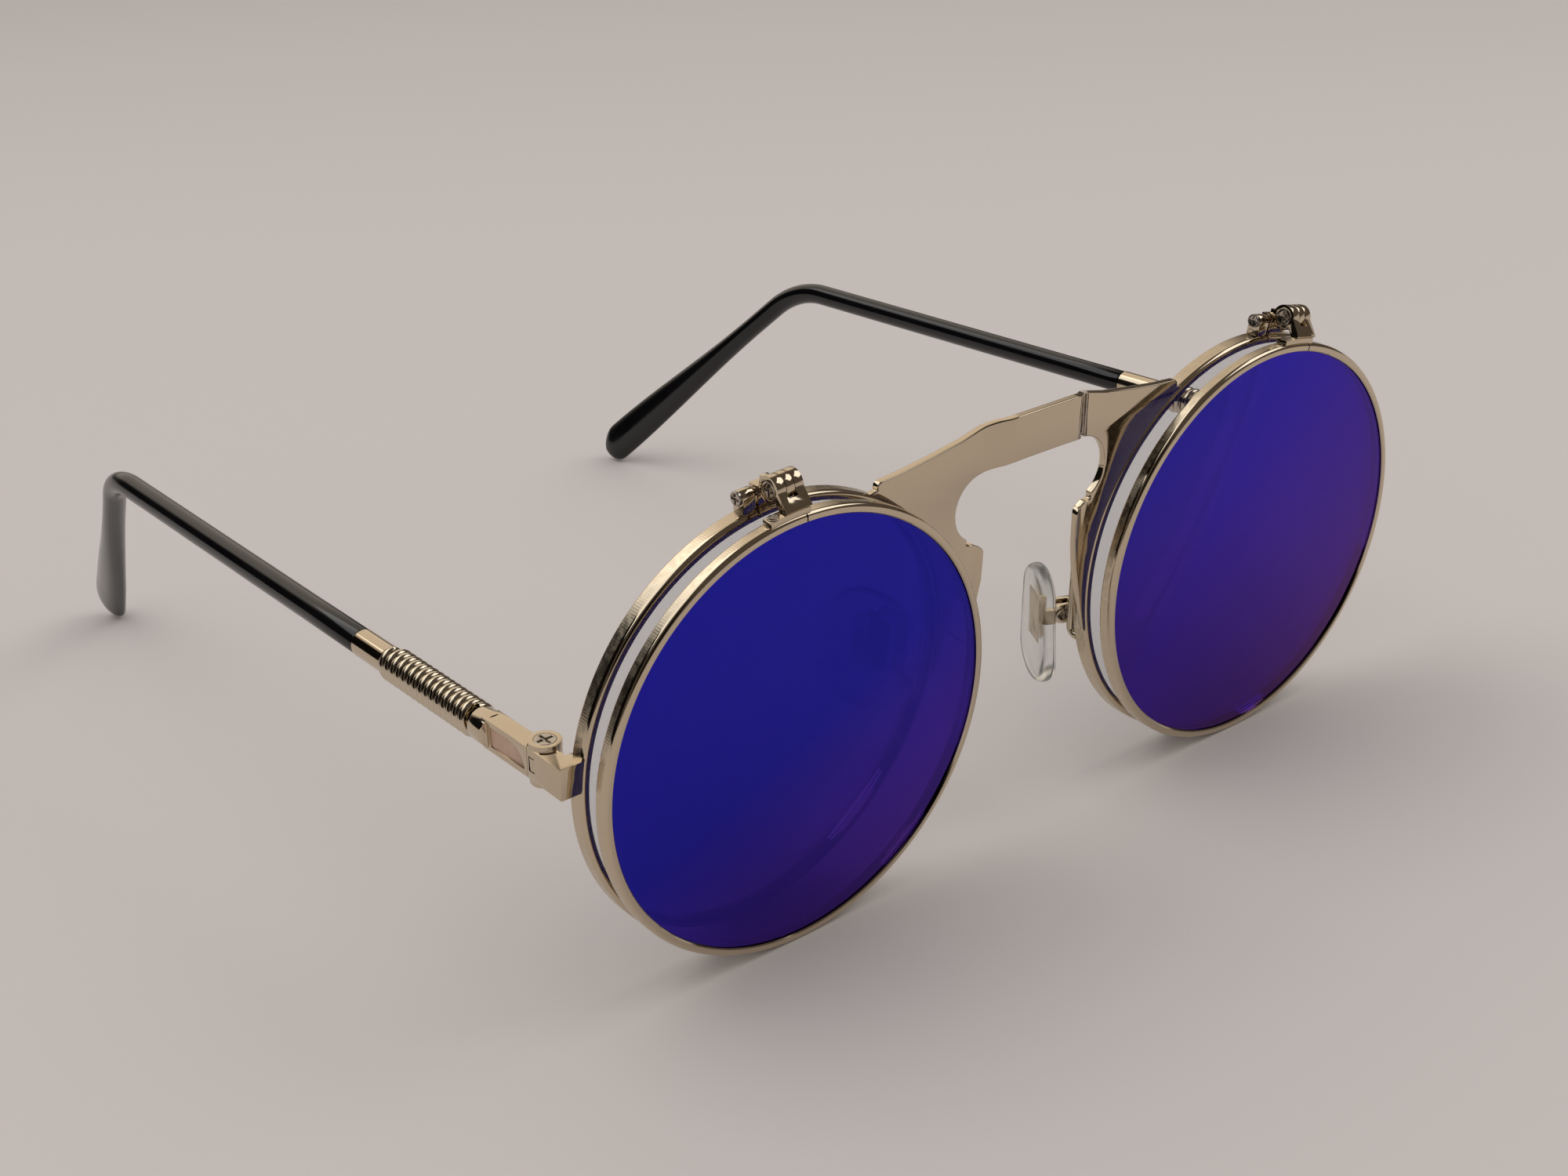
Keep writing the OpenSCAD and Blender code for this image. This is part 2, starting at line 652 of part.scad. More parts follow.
// ---- nose pads: the pad frame has +x across to the nose, +y along the pad's width, +z up ----

module pad_frame() {
    translate([-pad_x, pad_y, pad_z]) rotate([0, pad_front, 0]) rotate([0, 0, pad_splay]) children();
}

pivot_out = 2.3;
pivot_up = 1.3;
pad_pin_d = 0.8;
tab_t = 0.9;
cheek_t = 0.55;
cheek_gap = 0.05;
cheek_r = 1.15;

module at_pivot() {
    pad_frame() translate([-pivot_out, 0, pivot_up]) children();
}

module pivot_disc(y0, width, r) {
    translate([0, y0, 0]) rotate([-90, 0, 0]) cylinder(h = width, r = r, $fn = 48);
}

module pad_outline(inset) {
    top_r = pad_w / 2 - 0.7;
    low_r = pad_w / 2;
    span = pad_h - top_r - low_r;
    lean = asin((low_r - top_r) / span);
    translate([0, -pad_h / 2 + low_r]) {
        circle(low_r - inset, $fn = 72);
        translate([0, span]) circle(top_r - inset, $fn = 72);
        polygon([
            [(low_r - inset) * cos(lean), (low_r - inset) * sin(lean)],
            [(top_r - inset) * cos(lean), span + (top_r - inset) * sin(lean)],
            [-(top_r - inset) * cos(lean), span + (top_r - inset) * sin(lean)],
            [-(low_r - inset) * cos(lean), (low_r - inset) * sin(lean)]
        ]);
    }
}

// Extrudes a drawing of the pad's face, from x = from to x = from + thick
module pad_slab(from, thick) {
    translate([from, 0, 0]) rotate([90, 0, 90]) linear_extrude(thick) children();
}

insert_t = 0.4;
insert_w = 3.0;
insert_h = 6.0;

module insert_body(extra) {
    translate([-insert_t / 2 - extra, -insert_w / 2 - extra, pivot_up - insert_h / 2 - extra])
        cube([insert_t + 2 * extra, insert_w + 2 * extra, insert_h + 2 * extra]);
    translate([-pivot_out, -tab_t / 2 - extra, pivot_up - 0.9 - extra])
        cube([pivot_out, tab_t + 2 * extra, 1.8 + 2 * extra]);
}

module nose_pad(side) {
    color(clear_tint, 0.5) stand() on_side(side) pad_frame() difference() {
        pad_slab(-pad_t / 2, pad_t) pad_outline(0);
        insert_body(0.02);
    }
}

module pad_insert(side) {
    color(steel) stand() on_side(side) pad_frame() difference() {
        union() {
            insert_body(0);
            translate([-pivot_out, 0, pivot_up]) pivot_disc(-tab_t / 2, tab_t, 0.9);
        }
        translate([-pivot_out, 0, pivot_up]) pivot_disc(-3, 6, pad_pin_d / 2 + pin_clear);
    }
}

// The wire leaves the back of the rear ring, rises, loops over and drops to the pad's cheeks
arm_foot_z = -6.5;
arm_top_z = 0.4;
arm_foot_x = -eye_x + sqrt(pow(rim_r - rim_wall / 2, 2) - pow(arm_foot_z, 2));
arm_foot_y = rear_back_y + 1.2;
arm_bend_r = 0.9;
cheek_back = pivot_out + cheek_r + arm_d / 2;
arm_drop_x = -pad_x - cheek_back * cos(pad_splay);
arm_drop_y = pad_y - cheek_back * sin(pad_splay);
arm_loop_r = norm([arm_drop_x - arm_foot_x, arm_drop_y - arm_foot_y]) / 2;
arm_loop_turn = atan2(arm_drop_y - arm_foot_y, arm_drop_x - arm_foot_x);

// Straight wires are a hair thinner than the bends and run this far into them
wire_step = 0.01;
wire_lap = 0.08;

module wire_up(x, y, z0, z1) {
    translate([x, y, z0]) cylinder(h = z1 - z0, r = arm_d / 2 - wire_step, $fn = 32);
}

module pad_arm(side) {
    color(steel) stand() on_side(side) {
        translate([arm_foot_x, rear_back_y, arm_foot_z]) rotate([-90, 0, 0])
            cylinder(h = arm_foot_y - arm_bend_r - rear_back_y + wire_lap, r = arm_d / 2 - wire_step, $fn = 32);
        translate([arm_foot_x, arm_foot_y - arm_bend_r, arm_foot_z + arm_bend_r]) rotate([0, 90, 0])
            rotate_extrude(angle = 90, $fn = 72) translate([arm_bend_r, 0]) circle(arm_d / 2, $fn = 32);
        wire_up(arm_foot_x, arm_foot_y, arm_foot_z + arm_bend_r - wire_lap, arm_top_z + wire_lap);
        translate([arm_foot_x, arm_foot_y, arm_top_z]) rotate([0, 0, arm_loop_turn])
            translate([arm_loop_r, 0, 0]) rotate([90, 0, 0])
                rotate_extrude(angle = 180, $fn = 72) translate([arm_loop_r, 0]) circle(arm_d / 2, $fn = 32);
        wire_up(arm_drop_x, arm_drop_y, pad_z + pivot_up - 0.8, arm_top_z + wire_lap);
        at_pivot() pad_cheeks();
    }
}

// Two cheeks that hold the pad's tab, joined by a back plate on the wire's side
module pad_cheeks() {
    half = tab_t / 2 + cheek_gap;
    difference() {
        union() {
            for (y0 = [-half - cheek_t, half]) {
                pivot_disc(y0, cheek_t, cheek_r);
                translate([-cheek_r - 0.1, y0, -cheek_r]) cube([cheek_r + 0.1, cheek_t, 2 * cheek_r]);
            }
            translate([-cheek_r - 0.4, -half - cheek_t, -cheek_r]) cube([0.4, 2 * (half + cheek_t), 2 * cheek_r]);
        }
        pivot_disc(-3, 6, pad_pin_d / 2);
    }
}

module pad_screw(side) {
    reach = tab_t / 2 + cheek_gap + cheek_t;
    color(steel) stand() on_side(side) at_pivot() translate([0, -reach - 0.3, 0]) rotate([90, 0, 0])
        screw(1.5, 0.3, pad_pin_d - 0.02, 2 * reach + 0.3);
}

bridge_plate();
rear_rim(RIGHT);  // rear_rim_right
rear_rim(LEFT);  // rear_rim_left
clear_lens(RIGHT);  // clear_lens_right
clear_lens(LEFT);  // clear_lens_left
end_piece(RIGHT);  // end_piece_right
end_piece(LEFT);  // end_piece_left
temple_screw(RIGHT);  // temple_screw_right
temple_screw(LEFT);  // temple_screw_left
rear_leaf(RIGHT);  // rear_leaf_right
rear_leaf(LEFT);  // rear_leaf_left
rim_screw(RIGHT);  // rim_screw_right
rim_screw(LEFT);  // rim_screw_left
pad_arm(RIGHT);  // pad_arm_right
pad_arm(LEFT);  // pad_arm_left
pad_screw(RIGHT);  // pad_screw_right
pad_screw(LEFT);  // pad_screw_left
pad_insert(RIGHT);  // pad_insert_right
pad_insert(LEFT);  // pad_insert_left
nose_pad(RIGHT);  // nose_pad_right
nose_pad(LEFT);  // nose_pad_left
flip_rim(RIGHT);  // flip_rim_right
flip_rim(LEFT);  // flip_rim_left
mirror_lens(RIGHT);  // mirror_lens_right
mirror_lens(LEFT);  // mirror_lens_left
front_leaf(RIGHT);  // front_leaf_right
front_leaf(LEFT);  // front_leaf_left
flip_screw(RIGHT);  // flip_screw_right
flip_screw(LEFT);  // flip_screw_left
lock_screw(RIGHT);  // lock_screw_right
lock_screw(LEFT);  // lock_screw_left
temple_front(RIGHT);  // temple_front_right
temple_front(LEFT);  // temple_front_left
core_wire(RIGHT);  // core_wire_right
core_wire(LEFT);  // core_wire_left
coil(RIGHT);  // coil_right
coil(LEFT);  // coil_left
ferrule(RIGHT);  // ferrule_right
ferrule(LEFT);  // ferrule_left
ear_tip(RIGHT);  // ear_tip_right
ear_tip(LEFT);  // ear_tip_left
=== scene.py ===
"""Looks of the round flip-up sunglasses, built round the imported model."""

import json
import math

import bmesh
import bpy
from mathutils import Matrix, Vector


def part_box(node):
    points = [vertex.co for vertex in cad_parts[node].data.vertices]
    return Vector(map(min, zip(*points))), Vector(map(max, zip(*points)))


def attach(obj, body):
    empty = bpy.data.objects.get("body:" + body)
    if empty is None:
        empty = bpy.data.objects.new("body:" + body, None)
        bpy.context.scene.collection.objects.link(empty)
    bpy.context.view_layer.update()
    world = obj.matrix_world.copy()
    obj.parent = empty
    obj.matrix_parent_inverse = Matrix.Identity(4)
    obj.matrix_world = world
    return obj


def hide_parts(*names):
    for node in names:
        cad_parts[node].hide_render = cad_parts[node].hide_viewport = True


bl_info = {
    "name": "Round Flip-up Sunglasses",
    "version": (1, 0, 0),
    "blender": (4, 5, 0),
    "location": "View3D > Sidebar > Sunglasses",
    "description": "Builds nickel rings, mirror lenses, wound temples and nose pads on a packed frame",
    "category": "Add Mesh",
}

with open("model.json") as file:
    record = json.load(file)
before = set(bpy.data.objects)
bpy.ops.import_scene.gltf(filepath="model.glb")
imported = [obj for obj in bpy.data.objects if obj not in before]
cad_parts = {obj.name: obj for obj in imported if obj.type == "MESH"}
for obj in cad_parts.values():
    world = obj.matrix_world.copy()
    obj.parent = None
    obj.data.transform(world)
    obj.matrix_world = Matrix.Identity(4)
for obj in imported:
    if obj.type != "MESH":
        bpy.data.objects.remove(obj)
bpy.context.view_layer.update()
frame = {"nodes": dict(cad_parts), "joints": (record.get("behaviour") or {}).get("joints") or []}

MM = 0.001
TURN = 2 * math.pi
SIDES = ("right", "left")
# Edges sharper than this keep a crease; everything flatter is shaded as one surface
CREASE_ANGLE = math.radians(32)
# Closing slits and the closing screw's lug in a ring's own frame, in millimetres from its flip hinge
REAR_SLIT_X = -1.89
FLIP_SLIT_X = 1.04
LUG_X = -3.47
LUG_W = 1.5
LUG_R = 0.85
LUG_SUNK = 0.3
LUG_EDGE = 0.12


def linear(code):
    """An sRGB hex colour as linear red, green, blue and alpha."""
    parts = [int(code[i:i + 2], 16) / 255 for i in (1, 3, 5)]
    return tuple(c / 12.92 if c <= 0.04045 else ((c + 0.055) / 1.055) ** 2.4 for c in parts) + (1.0,)


def length(name, description, millimetres):
    return bpy.props.FloatProperty(
        name=name, description=description, default=millimetres * MM, unit="LENGTH", precision=5)


def angle(name, description, degrees):
    return bpy.props.FloatProperty(
        name=name, description=description, default=math.radians(degrees), subtype="ANGLE")


def count(name, description, number):
    return bpy.props.IntProperty(name=name, description=description, default=number, min=3)


def colour(name, description, code):
    return bpy.props.FloatVectorProperty(
        name=name, description=description, default=linear(code), subtype="COLOR", size=4, min=0, max=1)


class ShadesSizes(bpy.types.PropertyGroup):
    """Sizes of the sunglasses, in metres and radians."""

    eye_r: length("Lens opening radius", "Radius of the clear opening of each ring", 23.5)
    rim_wall: length("Ring wall", "Radial wall of each ring", 0.95)
    rim_corner: length("Ring corner", "Radius of the rings' rear outer corners", 0.2)
    rim_round: length("Ring round", "Radius of the rings' polished front outer corners", 0.5)
    rim_chamfer: length("Ring chamfer", "Chamfer on the inner corners of the rings", 0.12)
    rear_rim_y: length("Rear ring place", "Distance of the rear rings behind the flip rings", 2.1)
    rear_rim_depth: length("Rear ring depth", "Front-to-back depth of the rear rings", 2.0)
    flip_rim_depth: length("Flip ring depth", "Front-to-back depth of the flip rings", 1.6)
    rim_slit: length("Ring slit", "Width of the closing gap in each ring", 0.16)
    lens_groove: length("Lens groove", "Depth of the groove that holds the lens", 0.45)
    lens_tongue: length("Lens tongue", "Thickness of the lens edge in its groove", 0.5)
    lens_clear: length("Lens clearance", "Clearance between a lens and its ring", 0.03)
    mirror_lens_t: length("Mirror lens", "Thickness of the mirror lenses", 1.0)
    clear_lens_t: length("Clear lens", "Thickness of the clear lenses", 1.4)
    lens_dome: length("Lens dome", "Rise of a lens's middle over its edge", 0.22)
    reed_pitch: length("Reeding pitch", "Distance between the ribs rolled on the rings' outer walls", 0.3)
    reed_depth: length("Reeding depth", "Depth of the ribs rolled on the rings' outer walls", 0.016)

    bridge_t: length("Bridge thickness", "Thickness of the bridge sheet", 0.9)
    bridge_step: length("Bridge step", "How far the middle strip stands forward of the wings", 1.75)
    fold_from: length("Fold start", "Distance from the middle at which the strip starts to fold back", 4.2)
    fold_to: length("Fold end", "Distance from the middle at which the fold ends", 8.1)
    bridge_edge: length("Bridge edge", "Rounding of the bridge sheet's edges", 0.17)

    coil_d: length("Coil diameter", "Outside diameter of the wound coil", 3.9)
    coil_wire_d: length("Coil wire", "Diameter of the coil's wire", 1.05)
    coil_pitch: length("Coil pitch", "Distance from turn to turn", 1.22)
    coil_turns: count("Coil turns", "Number of turns in each coil", 15)
    coil_start: length("Coil start", "Distance of the coil behind the temple seam", 9.85)
    core_d: length("Core wire", "Diameter of the core wire", 1.6)
    ferrule_d: length("Ferrule diameter", "Outside diameter of the ferrule", 3.15)
    ferrule_len: length("Ferrule length", "Length of the ferrule", 6.2)
    tip_d: length("Ear tip diameter", "Diameter of the round stretch of the ear tip", 3.0)
    paddle_w: length("Ear tip end width", "Width of the flat end of the ear tip", 6.4)
    paddle_t: length("Ear tip end thickness", "Thickness of the flat end of the ear tip", 2.7)
    paddle_start: length("Widening start", "Distance past the bend where the ear tip starts to widen", 4.0)
    panel_t: length("Panel thickness", "Thickness of the temple fronts", 2.0)
    temple_len: length("Temple length", "Length from the seam to the bend", 100.9)
    tip_len: length("Tip length", "Length from the bend to the end", 53.4)
    bend_r: length("Bend radius", "Radius of the bend behind the ear", 15.0)
    ear_bend: angle("Ear bend", "Angle of the bend behind the ear", 42.2)
    ear_lean: angle("Ear lean", "Lean of the bent end towards the head", 16.3)
    temple_drop: angle("Temple drop", "Drop of the temples from the lens axis", 4.0)
    temple_toe: angle("Temple toe-in", "Turn of the temples towards each other", 1.75)
    temple_out: length("Temple middle", "Distance of the temples' middle from the centre line", 59.95)
    seam_y: length("Seam place", "Distance of the temple seam behind the flip rings", 7.65)
    temple_z: length("Temple height", "Height of the temples' middle over the lens axis", 2.9)

    pad_h: length("Pad height", "Height of a nose pad", 14.8)
    pad_w: length("Pad width", "Width of a nose pad", 8.4)
    pad_t: length("Pad thickness", "Thickness of a nose pad", 1.9)
    pad_narrow: length("Pad narrowing", "How much smaller the pad's top radius is than its foot's", 0.7)
    pad_round: length("Pad rounding", "Rounding of the nose pad's rim", 0.8)
    pad_splay: angle("Pad splay", "Splay of the nose pads", 26.0)
    pad_front: angle("Pad frontal angle", "Frontal angle of the nose pads", 3.0)


class ShadesColours(bpy.types.PropertyGroup):
    """Colours of the sunglasses' finishes and of the stage."""

    nickel: colour("Nickel", "Polished light nickel plate", "#cfc0a8")
    # The panel colour is darker and pinker than the nickel: partly the satin finish, partly painted shade
    # in the pressed recess.
    panel: colour("Panel", "Satin nickel plate in the temples' pressed panels", "#cdb19c")
    wire: colour("Wire", "Bright drawn nickel-silver wire", "#d3c7b2")
    screw: colour("Screw", "Turned steel of the screws", "#bdb5aa")
    mirror_blue: colour("Mirror blue", "Mirror coating seen face on", "#100cd8")
    mirror_violet: colour("Mirror violet", "Mirror coating seen more edge-on", "#74107c")
    tint: colour("Lens tint", "Tint of the polycarbonate behind the mirror coating", "#5c5763")
    clear_lens: colour("Clear lens", "Clear polycarbonate", "#f3f6f7")
    silicone: colour("Silicone", "Clear moulded silicone", "#eef0ee")
    acetate: colour("Acetate", "Black acetate of the ear tips", "#08080a")
    floor: colour("Floor", "Pale matte paper under the sunglasses", "#c2b9b4")
    room: colour("Room", "Dim room over the table, which metal reflects", "#574f48")
    dark: colour("Dark corner", "Unlit corners of the room", "#0b0909")
    window: colour("Window", "Bright window behind the sunglasses", "#ecdfce")


def sizes():
    return bpy.context.scene.shades_sizes


def colours():
    return bpy.context.scene.shades_colours


# ---- places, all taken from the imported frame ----

def joint(name):
    return next(j for j in frame["joints"] if j["name"] == name)


def front_frame():
    """From the plane of the front, with y = 0 at the back of the flip rings, to the shared frame."""
    s = sizes()
    axis = joint("temple_fold_right")["axis"]
    lean = math.atan2(axis[1], -axis[2])
    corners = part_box("clear_lens_right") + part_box("clear_lens_left")
    middle = sum(corners, Vector()) / 4
    back = Matrix.Translation((0, -s.rear_rim_y - s.rear_rim_depth / 2, 0))
    return Matrix.Translation(middle) @ Matrix.Rotation(lean, 4, "X") @ back


def mirrored(side):
    """Pieces are shaped for the wearer's right; the left ones are their mirror images."""
    return Matrix.Diagonal((1 if side == "right" else -1, 1, 1, 1))


def ring_frame(side):
    """A ring's own frame: y along its axis and z towards its flip hinge."""
    low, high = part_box("clear_lens_" + side)
    axis = Vector(joint("lens_flip_" + side)["axis"])
    flat = front_frame().to_3x3().inverted() @ axis
    turn = Matrix.Rotation(math.atan2(flat.z, -flat.x), 4, "Y")
    return front_frame() @ Matrix.Translation(((low.x + high.x) / 2, 0, 0)) @ turn


def temple_frame(side):
    """Origin in the middle of the temple seam, y along the straight stretch."""
    s = sizes()
    turn = Matrix.Rotation(-s.temple_toe, 4, "Z") @ Matrix.Rotation(-s.temple_drop, 4, "X")
    place = Matrix.Translation((-s.temple_out, s.seam_y, s.temple_z))
    return front_frame() @ mirrored(side) @ place @ turn


def pad_frame(side):
    """Origin in the middle of the nose pad, x across to the nose, z up."""
    low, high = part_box("nose_pad_" + side)
    turn = Matrix.Rotation(sizes().pad_front, 4, "Y") @ Matrix.Rotation(sizes().pad_splay, 4, "Z")
    upright = mirrored(side) @ turn
    lean = front_frame().to_3x3().to_4x4()
    return Matrix.Translation((low + high) / 2) @ lean @ upright


# ---- mesh helpers ----

def make_piece(name, bm, body, nodes, material, place=None, second=None):
    """Turns a bmesh into a finished piece that rides on its body and stands for its CAD nodes."""
    if place is not None:
        bmesh.ops.transform(bm, matrix=place, verts=bm.verts)
    bmesh.ops.recalc_face_normals(bm, faces=bm.faces)
    for face in bm.faces:
        face.smooth = True
    for edge in bm.edges:
        edge.smooth = edge.calc_face_angle(0) < CREASE_ANGLE
    mesh = bpy.data.meshes.new(name)
    bm.to_mesh(mesh)
    bm.free()
    mesh.materials.append(material)
    if second is not None:
        mesh.materials.append(second)
    piece = bpy.data.objects.new(name, mesh)
    bpy.context.scene.collection.objects.link(piece)
    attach(piece, body)
    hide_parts(*nodes)
    return piece


def polyline(bm, points, closed):
    verts = [bm.verts.new(p) for p in points]
    pairs = list(zip(verts, verts[1:])) + ([(verts[-1], verts[0])] if closed else [])
    return verts, [bm.edges.new(pair) for pair in pairs]


def corner(centre, radius, start, end, steps):
    """Points of an arc in a profile, from one angle to another in degrees."""
    angles = [math.radians(start + (end - start) * i / steps) for i in range(steps + 1)]
    return [(centre[0] + radius * math.cos(a), centre[1] + radius * math.sin(a)) for a in angles]


def spin_about_y(bm, geometry, turn, steps, rise=0.0, merge=False):
    return bmesh.ops.spin(
        bm, geom=geometry, cent=(0, 0, 0), axis=(0, 1, 0), dvec=(0, rise, 0),
        angle=turn, steps=steps, use_merge=merge)


def cap_ends(bm):
    ends = [e for e in bm.edges if e.is_boundary]
    bmesh.ops.holes_fill(bm, edges=ends, sides=0)


def soften_edges(bm, width, segments, sharpest):
    """Bevels every edge that turns by more than an angle."""
    sharp = [e for e in bm.edges if len(e.link_faces) == 2 and e.calc_face_angle() > sharpest]
    bmesh.ops.bevel(
        bm, geom=sharp, offset=width, offset_type="OFFSET", segments=segments, profile=0.5,
        affect="EDGES", clamp_overlap=True, material=-1)


# ---- materials ----

def add(tree, kind, inputs=None, **settings):
    """Adds a node, sets its properties, and gives its sockets values or links them."""
    node = tree.nodes.new(kind)
    for name, value in settings.items():
        setattr(node, name, value)
    for name, value in (inputs or {}).items():
        if isinstance(value, bpy.types.NodeSocket):
            tree.links.new(value, node.inputs[name])
        else:
            node.inputs[name].default_value = value
    return node


def surface(name, build):
    """A material made once by build(tree), which returns its shader node."""
    found = bpy.data.materials.get(name)
    if found:
        return found
    material = bpy.data.materials.new(name)
    material.use_nodes = True
    tree = material.node_tree
    tree.nodes.clear()
    add(tree, "ShaderNodeOutputMaterial", {"Surface": build(tree).outputs[0]})
    return material


def grain(tree, millimetres, detail=2.0, stretch=(1, 1, 1)):
    """Noise whose features are about that many millimetres across, on Object coordinates."""
    place = add(tree, "ShaderNodeTexCoord")
    scaled = add(tree, "ShaderNodeMapping", {"Vector": place.outputs["Object"], "Scale": stretch})
    return add(tree, "ShaderNodeTexNoise", {
        "Vector": scaled.outputs["Vector"], "Scale": 1 / (millimetres * MM), "Detail": detail})


def spread(tree, value, low, high):
    """Maps a texture's middle range on to low and high."""
    mapped = add(tree, "ShaderNodeMapRange", {
        "Value": value, "From Min": 0.35, "From Max": 0.65, "To Min": low, "To Max": high})
    return mapped.outputs["Result"]


def relief(tree, height, millimetres, strength=1.0):
    return add(tree, "ShaderNodeBump", {
        "Height": height, "Distance": millimetres * MM, "Strength": strength}).outputs["Normal"]


def metal(tree, tone, rough_low, rough_high, cloud, haze, haze_depth):
    """Polished metal: clouded by handling at one scale and hazed by the polishing wheel at another."""
    return add(tree, "ShaderNodeBsdfPrincipled", {
        "Base Color": tone,
        "Metallic": 1.0,
        "Roughness": spread(tree, grain(tree, cloud).outputs["Fac"], rough_low, rough_high),
        "Normal": relief(tree, grain(tree, haze).outputs["Fac"], haze_depth, 0.3)})


def nickel_plate():
    """Polished nickel over stamped brass: bright, warm, with faint wheel marks."""
    return surface("polished_nickel_plate", lambda tree: metal(
        tree, colours().nickel, 0.05, 0.11, cloud=5.0, haze=0.5, haze_depth=0.002))


def reeded_nickel():
    """Nickel plate over a wall rolled with fine ribs: a satin band beside the polished edges."""
    def build(tree):
        unrolled = add(tree, "ShaderNodeTexCoord").outputs["UV"]
        ribs = add(tree, "ShaderNodeTexWave", {
            "Vector": unrolled, "Scale": TURN / 20 / sizes().reed_pitch, "Distortion": 0.6,
            "Detail": 1.0, "Detail Scale": 2.0})
        return add(tree, "ShaderNodeBsdfPrincipled", {
            "Base Color": colours().nickel,
            "Metallic": 1.0,
            "Roughness": spread(tree, grain(tree, 0.7).outputs["Fac"], 0.2, 0.32),
            "Normal": relief(tree, ribs.outputs["Fac"], sizes().reed_depth / MM, 0.12)})
    return surface("reeded_nickel_plate", build)


def satin_nickel_and_shade():
    """Nickel plate left satin in the pressed panels, softer than the polished faces, with a warmer, darker
    tone that is painted shade in the recess.
    """
    return surface("satin_nickel_plate", lambda tree: metal(
        tree, colours().panel, 0.3, 0.42, cloud=1.2, haze=0.15, haze_depth=0.01))


def drawn_wire():
    """Nickel-silver wire, drawn and wound: a little softer than the plate, with die lines."""
    return surface("drawn_nickel_silver_wire", lambda tree: metal(
        tree, colours().wire, 0.06, 0.12, cloud=1.5, haze=0.2, haze_depth=0.002))


def turned_steel():
    """Steel turned on a small lathe: satin, with fine tool marks."""
    return surface("turned_steel", lambda tree: metal(
        tree, colours().screw, 0.12, 0.2, cloud=0.8, haze=0.12, haze_depth=0.003))


def mirror_coating():
    """Vacuum-coated polycarbonate: a deep blue mirror that slides to violet as it is seen more edge-on.

    The coating is a little thicker at the foot of the lens, so the violet starts sooner there.
    """
    def build(tree):
        unit_disc = add(tree, "ShaderNodeTexCoord").outputs["UV"]
        across = add(tree, "ShaderNodeSeparateXYZ", {"Vector": unit_disc})
        seen = add(tree, "ShaderNodeLayerWeight", {"Blend": 0.5})
        slant = add(tree, "ShaderNodeMapRange", {
            "Value": seen.outputs["Facing"], "From Min": 0.35, "From Max": 0.59,
            "To Min": 0.0, "To Max": 1.0}, clamp=False)
        drift = add(tree, "ShaderNodeMath", {
            0: across.outputs["Y"], 1: -0.22, 2: slant.outputs["Result"]},
            operation="MULTIPLY_ADD", use_clamp=True)
        tint = add(tree, "ShaderNodeMix", {
            "Factor": drift.outputs[0], 6: colours().mirror_blue, 7: colours().mirror_violet},
            data_type="RGBA")
        return add(tree, "ShaderNodeBsdfPrincipled", {
            "Base Color": tint.outputs[2],
            "Metallic": 0.52,
            "Roughness": 0.02,
            "IOR": 1.3,
            "Transmission Weight": 1.0})
    return surface("mirror_coated_polycarbonate", build)


def tinted_polycarbonate():
    """Smoke-tinted polycarbonate behind the coating: what lies behind the lens shows faintly."""
    return surface("tinted_polycarbonate", lambda tree: add(tree, "ShaderNodeBsdfPrincipled", {
        "Base Color": colours().tint,
        "Roughness": 0.02,
        "IOR": 1.58,
        "Transmission Weight": 1.0}))


def clear_polycarbonate():
    """Moulded polycarbonate, polished clear."""
    return surface("clear_polycarbonate", lambda tree: add(tree, "ShaderNodeBsdfPrincipled", {
        "Base Color": colours().clear_lens,
        "Roughness": 0.01,
        "IOR": 1.58,
        "Transmission Weight": 1.0,
        "Normal": relief(tree, grain(tree, 9.0, 0.0).outputs["Fac"], 0.01, 0.2)}))


def moulded_silicone():
    """Clear silicone: soft gloss, with the faint cloud of a moulded part."""
    return surface("clear_moulded_silicone", lambda tree: add(tree, "ShaderNodeBsdfPrincipled", {
        "Base Color": colours().silicone,
        "Roughness": spread(tree, grain(tree, 2.0).outputs["Fac"], 0.12, 0.26),
        "IOR": 1.41,
        "Transmission Weight": 1.0,
        "Normal": relief(tree, grain(tree, 0.8).outputs["Fac"], 0.01, 0.3)}))


def black_acetate():
    """Tumbled cellulose acetate: deep black under a wet-looking polish."""
    return surface("black_cellulose_acetate", lambda tree: add(tree, "ShaderNodeBsdfPrincipled", {
        "Base Color": colours().acetate,
        "Roughness": spread(tree, grain(tree, 7.0).outputs["Fac"], 0.1, 0.18),
        "IOR": 1.5,
        "Normal": relief(tree, grain(tree, 1.6).outputs["Fac"], 0.012, 0.4)}))


def pale_paper():
    """Uncoated paper sweep: matte, with a fibre tooth drawn coarse enough to show."""
    return surface("pale_uncoated_paper", lambda tree: add(tree, "ShaderNodeBsdfPrincipled", {
        "Base Color": colours().floor,
        "Roughness": 0.75,
        "Specular IOR Level": 0.25,
        "Normal": relief(tree, grain(tree, 0.6, 4.0).outputs["Fac"], 0.02, 0.15)}))


# ---- rings and lenses ----

def reeded_band(depth):
    """Where the ribs start and end across a ring's outer wall, from its front."""
    s = sizes()
    end = depth - s.rim_corner
    return end - (end - s.rim_round) * 0.85, end


def ring_profile(depth, front):
    """Section of a ring as [radius, y]: grooved inside, chamfered and rounded outside."""
    s = sizes()
    inner, outer, groove = s.eye_r, s.eye_r + s.rim_wall, s.eye_r + s.lens_groove
    middle, half = depth / 2, s.lens_tongue / 2 + s.lens_clear
    band_start, band_end = reeded_band(depth)
    points = [(groove, middle - half), (inner, middle - half), (inner, s.rim_chamfer)]
    points += [(inner + s.rim_chamfer, 0)]
    points += corner((outer - s.rim_round, s.rim_round), s.rim_round, -90, 0, 8)
    points += [(outer, band_start), (outer, band_end)]
    points += corner((outer - s.rim_corner, band_end), s.rim_corner, 0, 90, 4)
    points += [(inner + s.rim_chamfer, depth), (inner, depth - s.rim_chamfer)]
    points += [(inner, middle + half), (groove, middle + half)]
    return [(0, y + front, radius) for radius, y in points]


